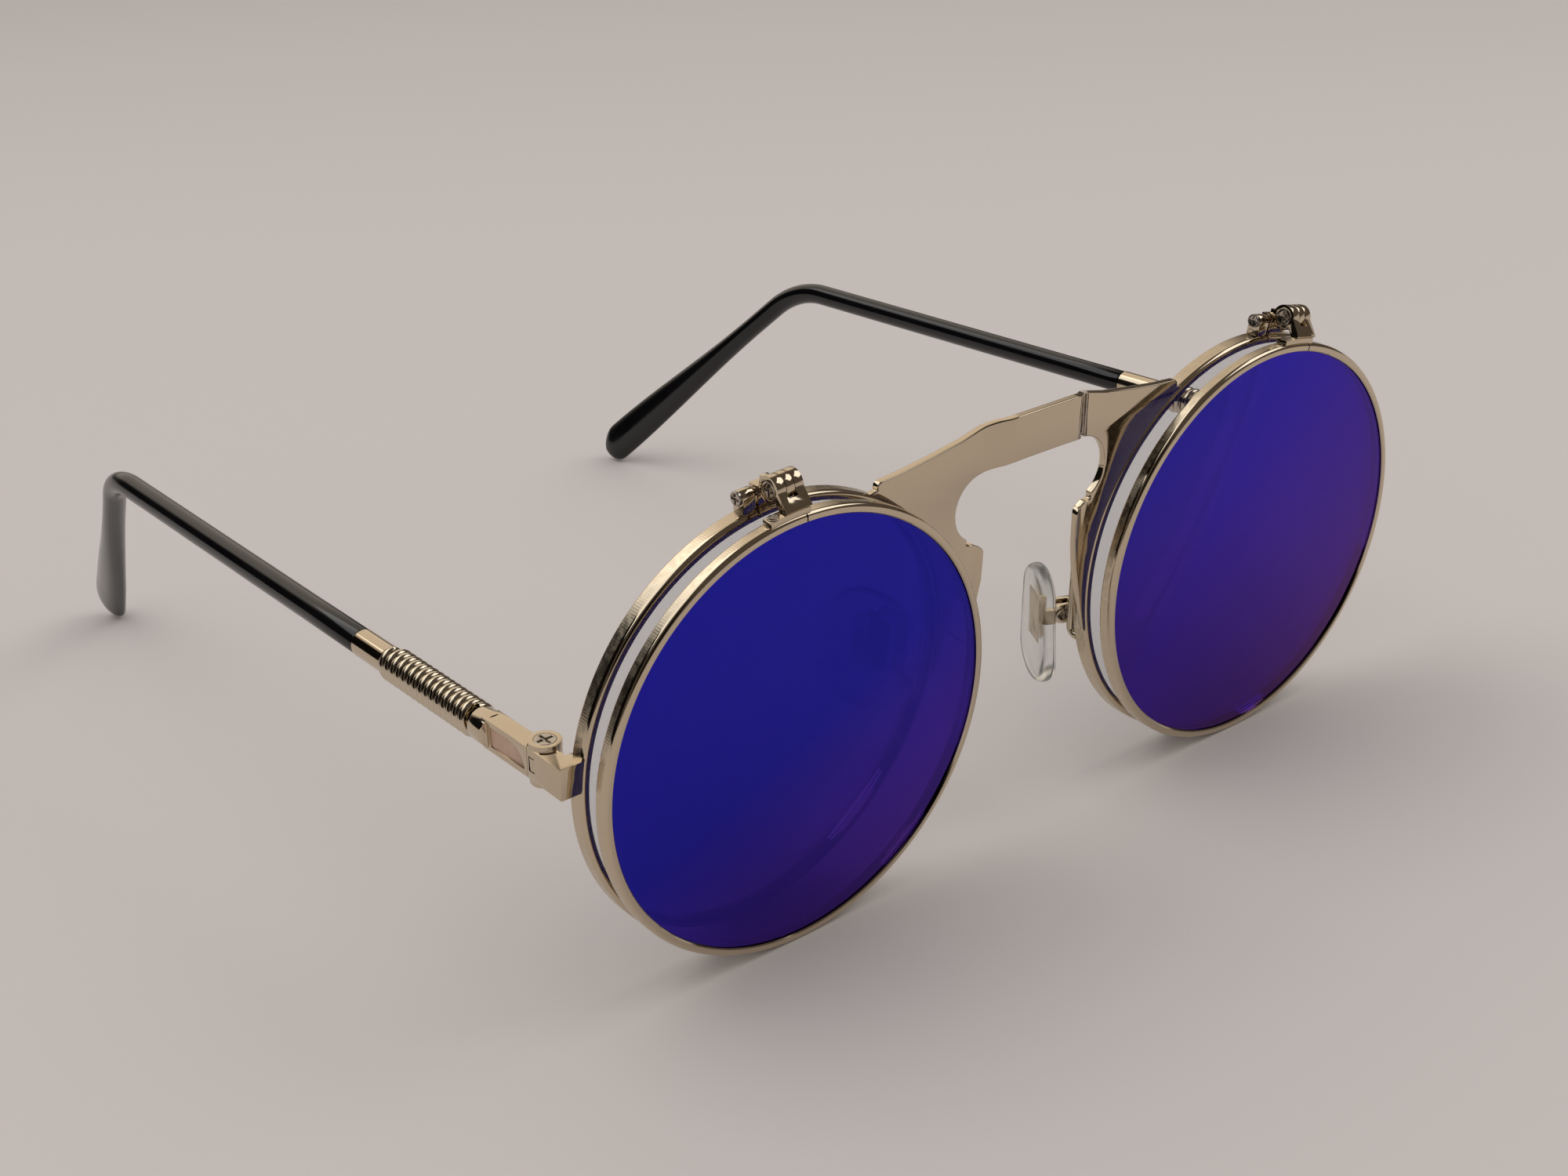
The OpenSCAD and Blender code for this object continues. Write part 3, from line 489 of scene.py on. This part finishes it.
def unroll_outer_wall(bm, start, low, high):
    """Gives the wall's band the reeded finish and a map in metres: round the ring, then across it."""
    outer = sizes().eye_r + sizes().rim_wall
    unrolled = bm.loops.layers.uv.new("unrolled_wall")
    for face in bm.faces:
        middle = face.calc_center_median()
        face.material_index = int(math.hypot(middle.x, middle.z) > outer * 0.999 and low < middle.y < high)
        turn = (math.atan2(middle.x, middle.z) - start) % TURN
        for loop in face.loops:
            place = loop.vert.co
            ahead = math.atan2(place.x, place.z) - math.atan2(middle.x, middle.z)
            ahead = (ahead + math.pi) % TURN - math.pi
            loop[unrolled].uv = (outer * (turn + ahead), place.y)


def ring(depth, front, slit_x):
    """A ring rolled from its section, open at its closing slit."""
    s = sizes()
    outer = s.eye_r + s.rim_wall
    open_turn = s.rim_slit / outer
    start = slit_x / outer + open_turn / 2
    bm = bmesh.new()
    verts, edges = polyline(bm, ring_profile(depth, front), closed=True)
    bmesh.ops.rotate(bm, verts=verts, cent=(0, 0, 0), matrix=Matrix.Rotation(start, 3, "Y"))
    spin_about_y(bm, verts + edges, TURN - open_turn, 240)
    band_start, band_end = reeded_band(depth)
    unroll_outer_wall(bm, start, front + band_start, front + band_end)
    cap_ends(bm)
    return bm


def lens(depth, front, thick):
    """A lens with a slight dome on both faces and a tongue that sits in the ring's groove."""
    s = sizes()
    middle = front + depth / 2
    face_r, tongue_r = s.eye_r - 2 * s.lens_clear, s.eye_r + s.lens_groove - s.lens_clear
    half, tongue = thick / 2, s.lens_tongue / 2
    radii = [face_r * i / 10 for i in range(11)]
    points = [(r, middle - half - s.lens_dome * (1 - (r / face_r) ** 2)) for r in radii]
    points += [(face_r, middle - tongue), (tongue_r, middle - tongue)]
    points += [(tongue_r, middle + tongue), (face_r, middle + tongue)]
    points += [(r, middle + half - s.lens_dome * (1 - (r / face_r) ** 2)) for r in reversed(radii)]
    bm = bmesh.new()
    verts, edges = polyline(bm, [(0, y, r) for r, y in points], closed=False)
    spin_about_y(bm, verts + edges, TURN, 160, merge=True)
    bmesh.ops.remove_doubles(bm, verts=bm.verts, dist=1e-7)
    across = bm.loops.layers.uv.new("across_lens")
    for face in bm.faces:
        centre = face.calc_center_median()
        face.material_index = int(centre.y > middle or math.hypot(centre.x, centre.z) > face_r)
        for loop in face.loops:
            loop[across].uv = (loop.vert.co.x / face_r, loop.vert.co.z / face_r)
    return bm


def lug():
    """Post beside the flip hinge that the rear ring's closing screw pulls on."""
    s = sizes()
    outer = s.eye_r + s.rim_wall
    low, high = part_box("rim_screw_right")
    centre = ring_frame("right").inverted() @ ((low + high) / 2)
    radius, foot = LUG_R * MM, outer - LUG_SUNK * MM
    points = corner((centre.y, centre.z), radius, 0, 180, 12)
    points += [(centre.y - radius, foot), (centre.y + radius, foot)]
    bm = bmesh.new()
    verts, edges = polyline(bm, [(LUG_X * MM, y, z) for y, z in points], closed=True)
    face = bmesh.ops.contextual_create(bm, geom=edges)["faces"]
    raised = bmesh.ops.extrude_face_region(bm, geom=face)["geom"]
    tops = [g for g in raised if isinstance(g, bmesh.types.BMVert)]
    bmesh.ops.translate(bm, verts=tops, vec=(LUG_W * MM, 0, 0))
    soften_edges(bm, LUG_EDGE * MM, 2, math.radians(50))
    return bm


class SHADES_OT_rings(bpy.types.Operator):
    """Roll the four nickel rings, with grooves, closing slits and reeded outer walls"""

    bl_idname = "shades.rings"
    bl_label = "Rings"

    def execute(self, context):
        s = sizes()
        for side in SIDES:
            rear = ring(s.rear_rim_depth, s.rear_rim_y, REAR_SLIT_X * MM)
            make_piece("rear_ring_" + side, rear, "front", ["rear_rim_" + side],
                       nickel_plate(), ring_frame(side), reeded_nickel())
            make_piece("rear_ring_lug_" + side, lug(), "front", [],
                       nickel_plate(), ring_frame(side))
            flip = ring(s.flip_rim_depth, -s.flip_rim_depth, FLIP_SLIT_X * MM)
            make_piece("flip_ring_" + side, flip, "flip_" + side, ["flip_rim_" + side],
                       nickel_plate(), ring_frame(side), reeded_nickel())
        return {"FINISHED"}


class SHADES_OT_lenses(bpy.types.Operator):
    """Mould the mirror lenses and the clear lenses behind them"""

    bl_idname = "shades.lenses"
    bl_label = "Lenses"

    def execute(self, context):
        s = sizes()
        for side in SIDES:
            ring_turn = (front_frame().inverted() @ ring_frame(side)).to_3x3().to_4x4()
            upright = ring_frame(side) @ ring_turn.inverted()
            mirror = lens(s.flip_rim_depth, -s.flip_rim_depth, s.mirror_lens_t)
            make_piece("mirror_lens_disc_" + side, mirror, "flip_" + side,
                       ["mirror_lens_" + side], mirror_coating(), upright, tinted_polycarbonate())
            clear = lens(s.rear_rim_depth, s.rear_rim_y, s.clear_lens_t)
            make_piece("clear_lens_disc_" + side, clear, "front",
                       ["clear_lens_" + side], clear_polycarbonate(), upright, clear_polycarbonate())
        return {"FINISHED"}


# ---- bridge plate ----

def bridge_outline():
    """Right half of the flat sheet's outline in millimetres, from the top middle clockwise."""
    ring_x, ring_r = 34.2, 24.45
    key_x, key_z, key_r = 7.3, 15.9, 3.85
    points = [(0, 25.8), (4.4, 25.8), (6.0, 25.5), (7.8, 24.85)]
    points += [(10.6, 24.15), (14.8, 23.5), (19.0, 22.95)]
    points += corner((21.5, 22.15), 0.62, 95, -25, 5)
    points += corner((ring_x, 0), ring_r, 117.5, 190.6, 40)
    points += [(9.95, -4.75), (9.55, -4.3), (8.4, 1.0), (7.55, 4.8), (7.15, 7.4)]
    points += corner((7.9, 10.55), 0.85, 185, 105, 5)
    points += corner((8.75, 13.1), 1.3, 255, 300, 3)
    points += corner((key_x, key_z), key_r, -58, 82, 26)
    points += [(6.3, 20.25), (4.6, 20.75), (3.0, 20.8), (0, 20.8)]
    return points


def fold(bm):
    """Steps the middle strip forward, with a soft fold on each side."""
    s = sizes()
    for vert in bm.verts:
        reach = min(max((abs(vert.co.x) - s.fold_from) / (s.fold_to - s.fold_from), 0), 1)
        vert.co.y = s.rear_rim_y - s.bridge_step * (1 + math.cos(math.pi * reach)) / 2


class SHADES_OT_bridge(bpy.types.Operator):
    """Stamp the keyhole bridge plate, fold it and round its edges"""

    bl_idname = "shades.bridge"
    bl_label = "Bridge plate"

    def execute(self, context):
        s = sizes()
        bm = bmesh.new()
        _, edges = polyline(bm, [(x * MM, 0, z * MM) for x, z in bridge_outline()], closed=True)
        bmesh.ops.contextual_create(bm, geom=edges)
        bmesh.ops.triangulate(bm, faces=bm.faces)
        bmesh.ops.mirror(bm, geom=bm.verts[:] + bm.edges[:] + bm.faces[:], axis="X", merge_dist=1e-7)
        bmesh.ops.recalc_face_normals(bm, faces=bm.faces)
        bmesh.ops.dissolve_limit(bm, angle_limit=math.radians(1), verts=bm.verts, edges=bm.edges)
        steps = 14
        for i in range(steps + 1):
            for sign in (-1, 1):
                x = sign * (s.fold_from + (s.fold_to - s.fold_from) * i / steps)
                whole = bm.verts[:] + bm.edges[:] + bm.faces[:]
                bmesh.ops.bisect_plane(bm, geom=whole, plane_co=(x, 0, 0), plane_no=(1, 0, 0))
        fold(bm)
        sheet = bmesh.ops.extrude_face_region(bm, geom=bm.faces[:])["geom"]
        back = [g for g in sheet if isinstance(g, bmesh.types.BMVert)]
        bmesh.ops.translate(bm, verts=back, vec=(0, s.bridge_t, 0))
        soften_edges(bm, s.bridge_edge, 3, math.radians(60))
        make_piece("bridge_sheet", bm, "front", ["bridge_plate"], nickel_plate(), front_frame())
        return {"FINISHED"}


# ---- hinges, screws and other small fittings ----

# Each fitting: its node, its body without a side, its record slot, its finish and its edge rounding in mm
FITTINGS = [
    ("end_piece", "front", "nickel", nickel_plate, 0.14),
    ("rear_leaf", "front", "nickel", nickel_plate, 0.08),
    ("front_leaf", "flip_", "nickel", nickel_plate, 0.08),
    ("temple_front", "temple_", "nickel", nickel_plate, 0.1),
    ("temple_screw", "front", "screw_steel", turned_steel, 0.05),
    ("flip_screw", "flip_", "screw_steel", turned_steel, 0.05),
    ("rim_screw", "front", "screw_steel", turned_steel, 0.04),
    ("lock_screw", "flip_", "screw_steel", turned_steel, 0.02),
    ("pad_screw", "front", "screw_steel", turned_steel, 0.04),
    ("pad_insert", "pad_", "nickel", nickel_plate, 0.05),
    ("pad_arm", "front", "wire_steel", drawn_wire, 0.06),
]


def mark_panel_shade(bm, side):
    """Gives the floor of the temple front's pressed panel the second finish: satin, with a darker tone
    painted on as shade in the recess.
    """
    to_temple = temple_frame(side).inverted()
    outside = -sizes().panel_t / 2
    for face in bm.faces:
        middle = to_temple @ face.calc_center_median()
        facing = (to_temple.to_3x3() @ face.normal).x
        face.material_index = int(facing < -0.9 and middle.x > outside + 0.1 * MM)


def softened_copy(node, width):
    """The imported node's own shape with its edges rounded as a tumbled part's are."""
    weld, flat, sharp = 0.002 * MM, math.radians(0.6), math.radians(42)
    bm = bmesh.new()
    bm.from_mesh(frame["nodes"][node].data)
    bmesh.ops.remove_doubles(bm, verts=bm.verts, dist=weld)
    bmesh.ops.dissolve_limit(bm, angle_limit=flat, verts=bm.verts, edges=bm.edges)
    soften_edges(bm, width, 2, sharp)
    return bm


class SHADES_OT_fittings(bpy.types.Operator):
    """Tumble the end pieces, hinge leaves, screws, pad arms and temple fronts"""

    bl_idname = "shades.fittings"
    bl_label = "Fittings"

    def execute(self, context):
        for part, body, slot, finish, width in FITTINGS:
            for side in SIDES:
                node = part + "_" + side
                rides = body + side if body.endswith("_") else body
                bm = softened_copy(node, width * MM)
                if part == "temple_front":
                    mark_panel_shade(bm, side)
                # The pressed panel's floor gets the satin nickel, painted darker as shade in the recess.
                second = satin_nickel_and_shade() if part == "temple_front" else None
                make_piece("tumbled_" + node, bm, rides, [node], finish(), second=second)
        return {"FINISHED"}


# ---- temples ----

def wound_coil():
    """Close-wound wire: a round section carried round and along the temple."""
    s = sizes()
    mean_r, wire_r = (s.coil_d - s.coil_wire_d) / 2, s.coil_wire_d / 2
    steps = 40 * s.coil_turns
    bm = bmesh.new()
    first = Matrix.Translation((0, s.coil_start + wire_r, mean_r))
    lie = first @ Matrix.Rotation(math.pi / 2, 4, "Y")
    section = bmesh.ops.create_circle(bm, cap_ends=False, segments=12, radius=wire_r, matrix=lie)
    verts = section["verts"]
    edges = list({e for v in verts for e in v.link_edges})
    run = s.coil_pitch * s.coil_turns - s.coil_wire_d
    spin_about_y(bm, verts + edges, TURN * s.coil_turns, steps, rise=run / steps)
    cap_ends(bm)
    return bm


def ferrule():
    """Plain sleeve between the coil and the ear tip, with broken corners."""
    s = sizes()
    start = s.coil_start + s.coil_pitch * s.coil_turns + 0.02 * MM
    end, inner, outer, chamfer = start + s.ferrule_len, s.core_d / 2, s.ferrule_d / 2, 0.18 * MM
    points = [(inner, start), (outer - chamfer, start), (outer, start + chamfer)]
    points += [(outer, end - chamfer), (outer - chamfer, end), (inner, end)]
    bm = bmesh.new()
    verts, edges = polyline(bm, [(0, y, r) for r, y in points], closed=True)
    spin_about_y(bm, verts + edges, TURN, 64, merge=True)
    bmesh.ops.remove_doubles(bm, verts=bm.verts, dist=1e-7)
    return bm


def bar_section(along, half_t, half_w):
    """Matrix that carries a unit circle to the bar's section at a distance along it."""
    s = sizes()
    straight = s.temple_len - s.bend_r * math.tan(s.ear_bend / 2)
    fall = min(max((along - straight) / s.bend_r, 0), s.ear_bend)
    past = max(along - straight - s.bend_r * s.ear_bend, 0)
    y = min(along, straight) + s.bend_r * math.sin(fall) + past * math.cos(fall)
    z = -s.bend_r * (1 - math.cos(fall)) - past * math.sin(fall)
    stand = Matrix.Rotation(math.pi / 2, 4, "X")
    return (Matrix.Rotation(-s.ear_lean, 4, "Y") @ Matrix.Translation((0, y, z))
            @ Matrix.Rotation(-fall, 4, "X") @ stand @ Matrix.Diagonal((half_t, half_w, 1, 1)))


def tip_sections():
    """Stations along the ear tip as [distance, half thickness, half width]."""
    s = sizes()
    start = s.coil_start + s.coil_pitch * s.coil_turns + s.ferrule_len + 0.04 * MM
    straight = s.temple_len - s.bend_r * math.tan(s.ear_bend / 2)
    bend_end = straight + s.bend_r * s.ear_bend
    end = bend_end + s.tip_len - s.bend_r * math.tan(s.ear_bend / 2)
    r, edge = s.tip_d / 2, 0.2 * MM
    wide_from, wide_to = bend_end + s.paddle_start, end - s.paddle_w / 2
    stations = [(start, r - edge, r - edge)]
    stations += [(start + edge * 0.3, r - edge * 0.3, r - edge * 0.3)]
    stations += [(start + edge, r, r)]
    stations += [(start + (straight - start) * i / 6, r, r) for i in range(1, 6)]
    stations += [(straight + (bend_end - straight) * i / 14, r, r) for i in range(15)]
    for i in range(21):
        ease = (1 - math.cos(math.pi * i / 20)) / 2
        along = wide_from + (wide_to - wide_from) * i / 20
        stations.append((along, r + (s.paddle_t / 2 - r) * ease, r + (s.paddle_w / 2 - r) * ease))
    for i in range(1, 10):
        a = math.radians(10 * i)
        thin = s.paddle_t / 2 * math.cos(a) ** 0.45
        stations.append((wide_to + s.paddle_w / 2 * math.sin(a), thin, s.paddle_w / 2 * math.cos(a)))
    return stations


def ear_tip():
    """Acetate sleeve drawn over the core wire, bent and flattened at its end."""
    stations = [bar_section(*station) for station in tip_sections()]
    bm = bmesh.new()
    made = bmesh.ops.create_circle(bm, cap_ends=True, segments=32, radius=1, matrix=stations[0])
    ring_verts = made["verts"]
    for before, after in zip(stations, stations[1:]):
        inside = set(ring_verts)
        edges = [e for e in bm.edges if e.verts[0] in inside and e.verts[1] in inside]
        grown = bmesh.ops.extrude_edge_only(bm, edges=edges)["geom"]
        ring_verts = [g for g in grown if isinstance(g, bmesh.types.BMVert)]
        bmesh.ops.transform(bm, matrix=after @ before.inverted(), verts=ring_verts)
    cap_ends(bm)
    return bm


class SHADES_OT_temples(bpy.types.Operator):
    """Wind the coils, turn the ferrules and draw the ear tips"""

    bl_idname = "shades.temples"
    bl_label = "Temples"

    def execute(self, context):
        for side in SIDES:
            body, place = "temple_" + side, temple_frame(side)
            make_piece("wound_coil_" + side, wound_coil(), body,
                       ["coil_" + side], drawn_wire(), place)
            make_piece("sleeve_" + side, ferrule(), body,
                       ["ferrule_" + side], nickel_plate(), place)
            make_piece("acetate_tip_" + side, ear_tip(), body,
                       ["ear_tip_" + side], black_acetate(), place)
            core = frame["nodes"]["core_wire_" + side]
            core.data.materials.clear()
            core.data.materials.append(drawn_wire())
        return {"FINISHED"}


# ---- nose pads ----

class SHADES_OT_nose_pads(bpy.types.Operator):
    """Mould the clear silicone nose pads"""

    bl_idname = "shades.nose_pads"
    bl_label = "Nose pads"

    def execute(self, context):
        s = sizes()
        low_r, top_r = s.pad_w / 2, s.pad_w / 2 - s.pad_narrow
        span = s.pad_h - low_r - top_r
        for side in SIDES:
            bm = bmesh.new()
            foot = Matrix.Translation((-s.pad_t / 2, 0, low_r - s.pad_h / 2))
            stand = foot @ Matrix.Rotation(math.pi / 2, 4, "Y")
            made = bmesh.ops.create_circle(bm, cap_ends=True, segments=64, radius=low_r, matrix=stand)
            upper = [v for v in made["verts"] if v.co.z > low_r - s.pad_h / 2 - 1e-7]
            centre = Matrix.Translation((0, 0, s.pad_h / 2 - low_r))
            bmesh.ops.scale(bm, verts=upper, vec=(1, top_r / low_r, top_r / low_r), space=centre)
            bmesh.ops.translate(bm, verts=upper, vec=(0, 0, span))
            raised = bmesh.ops.extrude_face_region(bm, geom=bm.faces[:])["geom"]
            inner = [g for g in raised if isinstance(g, bmesh.types.BMVert)]
            bmesh.ops.translate(bm, verts=inner, vec=(s.pad_t, 0, 0))
            soften_edges(bm, s.pad_round, 6, math.radians(60))
            make_piece("silicone_pad_" + side, bm, "pad_" + side, ["nose_pad_" + side],
                       moulded_silicone(), pad_frame(side))
        return {"FINISHED"}


# ---- stage ----

def softbox(name, place, target, width, height, power):
    light = bpy.data.lights.new(name, "AREA")
    light.shape = "RECTANGLE"
    light.size, light.size_y, light.energy = width, height, power
    lamp = bpy.data.objects.new(name, light)
    bpy.context.scene.collection.objects.link(lamp)
    lamp.location = place
    lamp.rotation_euler = (Vector(target) - Vector(place)).to_track_quat("-Z", "Y").to_euler()


def towards(tree, seen, direction, edge, middle):
    """1 where a ray heads towards a direction, falling to 0 between two cosines."""
    aim = Vector(direction).normalized()
    near = add(tree, "ShaderNodeVectorMath", {0: seen, 1: aim}, operation="DOT_PRODUCT")
    fade = add(tree, "ShaderNodeMapRange", {
        "Value": near.outputs["Value"], "From Min": edge, "From Max": middle,
        "To Min": 0.0, "To Max": 1.0}, interpolation_type="SMOOTHSTEP")
    return fade.outputs["Result"]


def studio_world(world):
    """Even fill on the floor; metal sees a dark room over a pale sweep, with one bright window in it."""
    world.use_nodes = True
    tree = world.node_tree
    tree.nodes.clear()
    c = colours()
    fill = (0.76, 0.76, 0.76, 1.0)
    # Each patch: its colour, where it lies, and the cosines at its edge and where it is full
    patches = [
        (c.room, (0, 0, 1), 0.0, 0.06),
        (c.dark, (-0.8, 0.55, 0.25), 0.7, 0.85),
        (c.dark, (-0.55, -0.7, 0.45), 0.9, 0.96),
        (c.window, (0.25, 0.8, 0.6), 0.82, 0.92),
    ]
    path = add(tree, "ShaderNodeLightPath")
    seen = add(tree, "ShaderNodeTexCoord").outputs["Generated"]
    tone = c.floor
    for patch, direction, edge, middle in patches:
        there = towards(tree, seen, direction, edge, middle)
        mixed = add(tree, "ShaderNodeMix", {"Factor": there, 6: tone, 7: patch}, data_type="RGBA")
        tone = mixed.outputs[2]
    lit = add(tree, "ShaderNodeMix", {
        "Factor": path.outputs["Is Glossy Ray"], 6: fill, 7: tone}, data_type="RGBA")
    glow = add(tree, "ShaderNodeBackground", {"Color": lit.outputs[2], "Strength": 1.0})
    add(tree, "ShaderNodeOutputWorld", {"Surface": glow.outputs[0]})


class SHADES_OT_stage(bpy.types.Operator):
    """Lay the pale floor and set the soft studio light"""

    bl_idname = "shades.stage"
    bl_label = "Stage"

    def execute(self, context):
        scene = context.scene
        scene.view_settings.view_transform = "Standard"
        if scene.world is None:
            scene.world = bpy.data.worlds.new("studio")
        studio_world(scene.world)
        bm = bmesh.new()
        bmesh.ops.create_grid(bm, x_segments=1, y_segments=1, size=3.0)
        mesh = bpy.data.meshes.new("paper_floor")
        bm.to_mesh(mesh)
        bm.free()
        mesh.materials.append(pale_paper())
        floor = bpy.data.objects.new("paper_floor", mesh)
        scene.collection.objects.link(floor)
        softbox("key_softbox", (-0.35, 0.4, 0.85), (0, 0, 0), 0.9, 0.6, 2.2)
        softbox("front_softbox", (0.5, -0.3, 0.6), (0, -0.1, 0), 0.6, 0.4, 1.2)
        return {"FINISHED"}


class SHADES_OT_camera(bpy.types.Operator):
    """Stand the camera in front of the wearer's right lens, above the table"""

    bl_idname = "shades.camera"
    bl_label = "Camera"

    def execute(self, context):
        data = bpy.data.cameras.new("product_camera")
        data.lens = 51.64
        data.sensor_width = 36.0
        data.clip_start, data.clip_end = 0.01, 20.0
        camera = bpy.data.objects.new("product_camera", data)
        context.scene.collection.objects.link(camera)
        azimuth, elevation, roll = math.radians(-37.81), math.radians(21.70), math.radians(-4.40)
        back = Vector((math.sin(azimuth) * math.cos(elevation), -math.cos(azimuth) * math.cos(elevation),
                       math.sin(elevation)))
        camera.location = Vector((-158.8, -232.86, 120.53)) * MM
        level = (-back).to_track_quat("-Z", "Y").to_matrix().to_4x4()
        camera.rotation_euler = (level @ Matrix.Rotation(roll, 4, "Z")).to_euler()
        context.scene.camera = camera
        return {"FINISHED"}


PIECES = [SHADES_OT_rings, SHADES_OT_lenses, SHADES_OT_bridge, SHADES_OT_fittings, SHADES_OT_temples,
          SHADES_OT_nose_pads, SHADES_OT_stage, SHADES_OT_camera]


class SHADES_PT_panel(bpy.types.Panel):
    """Lists the operators that build the sunglasses, and their sizes and colours"""

    bl_label = "Flip-up Sunglasses"
    bl_idname = "SHADES_PT_panel"
    bl_space_type = "VIEW_3D"
    bl_region_type = "UI"
    bl_category = "Sunglasses"

    def draw(self, context):
        layout = self.layout
        for operator in PIECES:
            layout.operator(operator.bl_idname)
        for group in (context.scene.shades_sizes, context.scene.shades_colours):
            box = layout.box()
            for name in group.__annotations__:
                box.prop(group, name)


CLASSES = [ShadesSizes, ShadesColours, *PIECES, SHADES_PT_panel]


def register():
    for cls in CLASSES:
        bpy.utils.register_class(cls)
    bpy.types.Scene.shades_sizes = bpy.props.PointerProperty(type=ShadesSizes)
    bpy.types.Scene.shades_colours = bpy.props.PointerProperty(type=ShadesColours)


def unregister():
    del bpy.types.Scene.shades_colours
    del bpy.types.Scene.shades_sizes
    for cls in reversed(CLASSES):
        bpy.utils.unregister_class(cls)


def main():
    register()
    for operator in PIECES:
        group, name = operator.bl_idname.split(".")
        getattr(getattr(bpy.ops, group), name)()


if __name__ == "__main__":
    main()
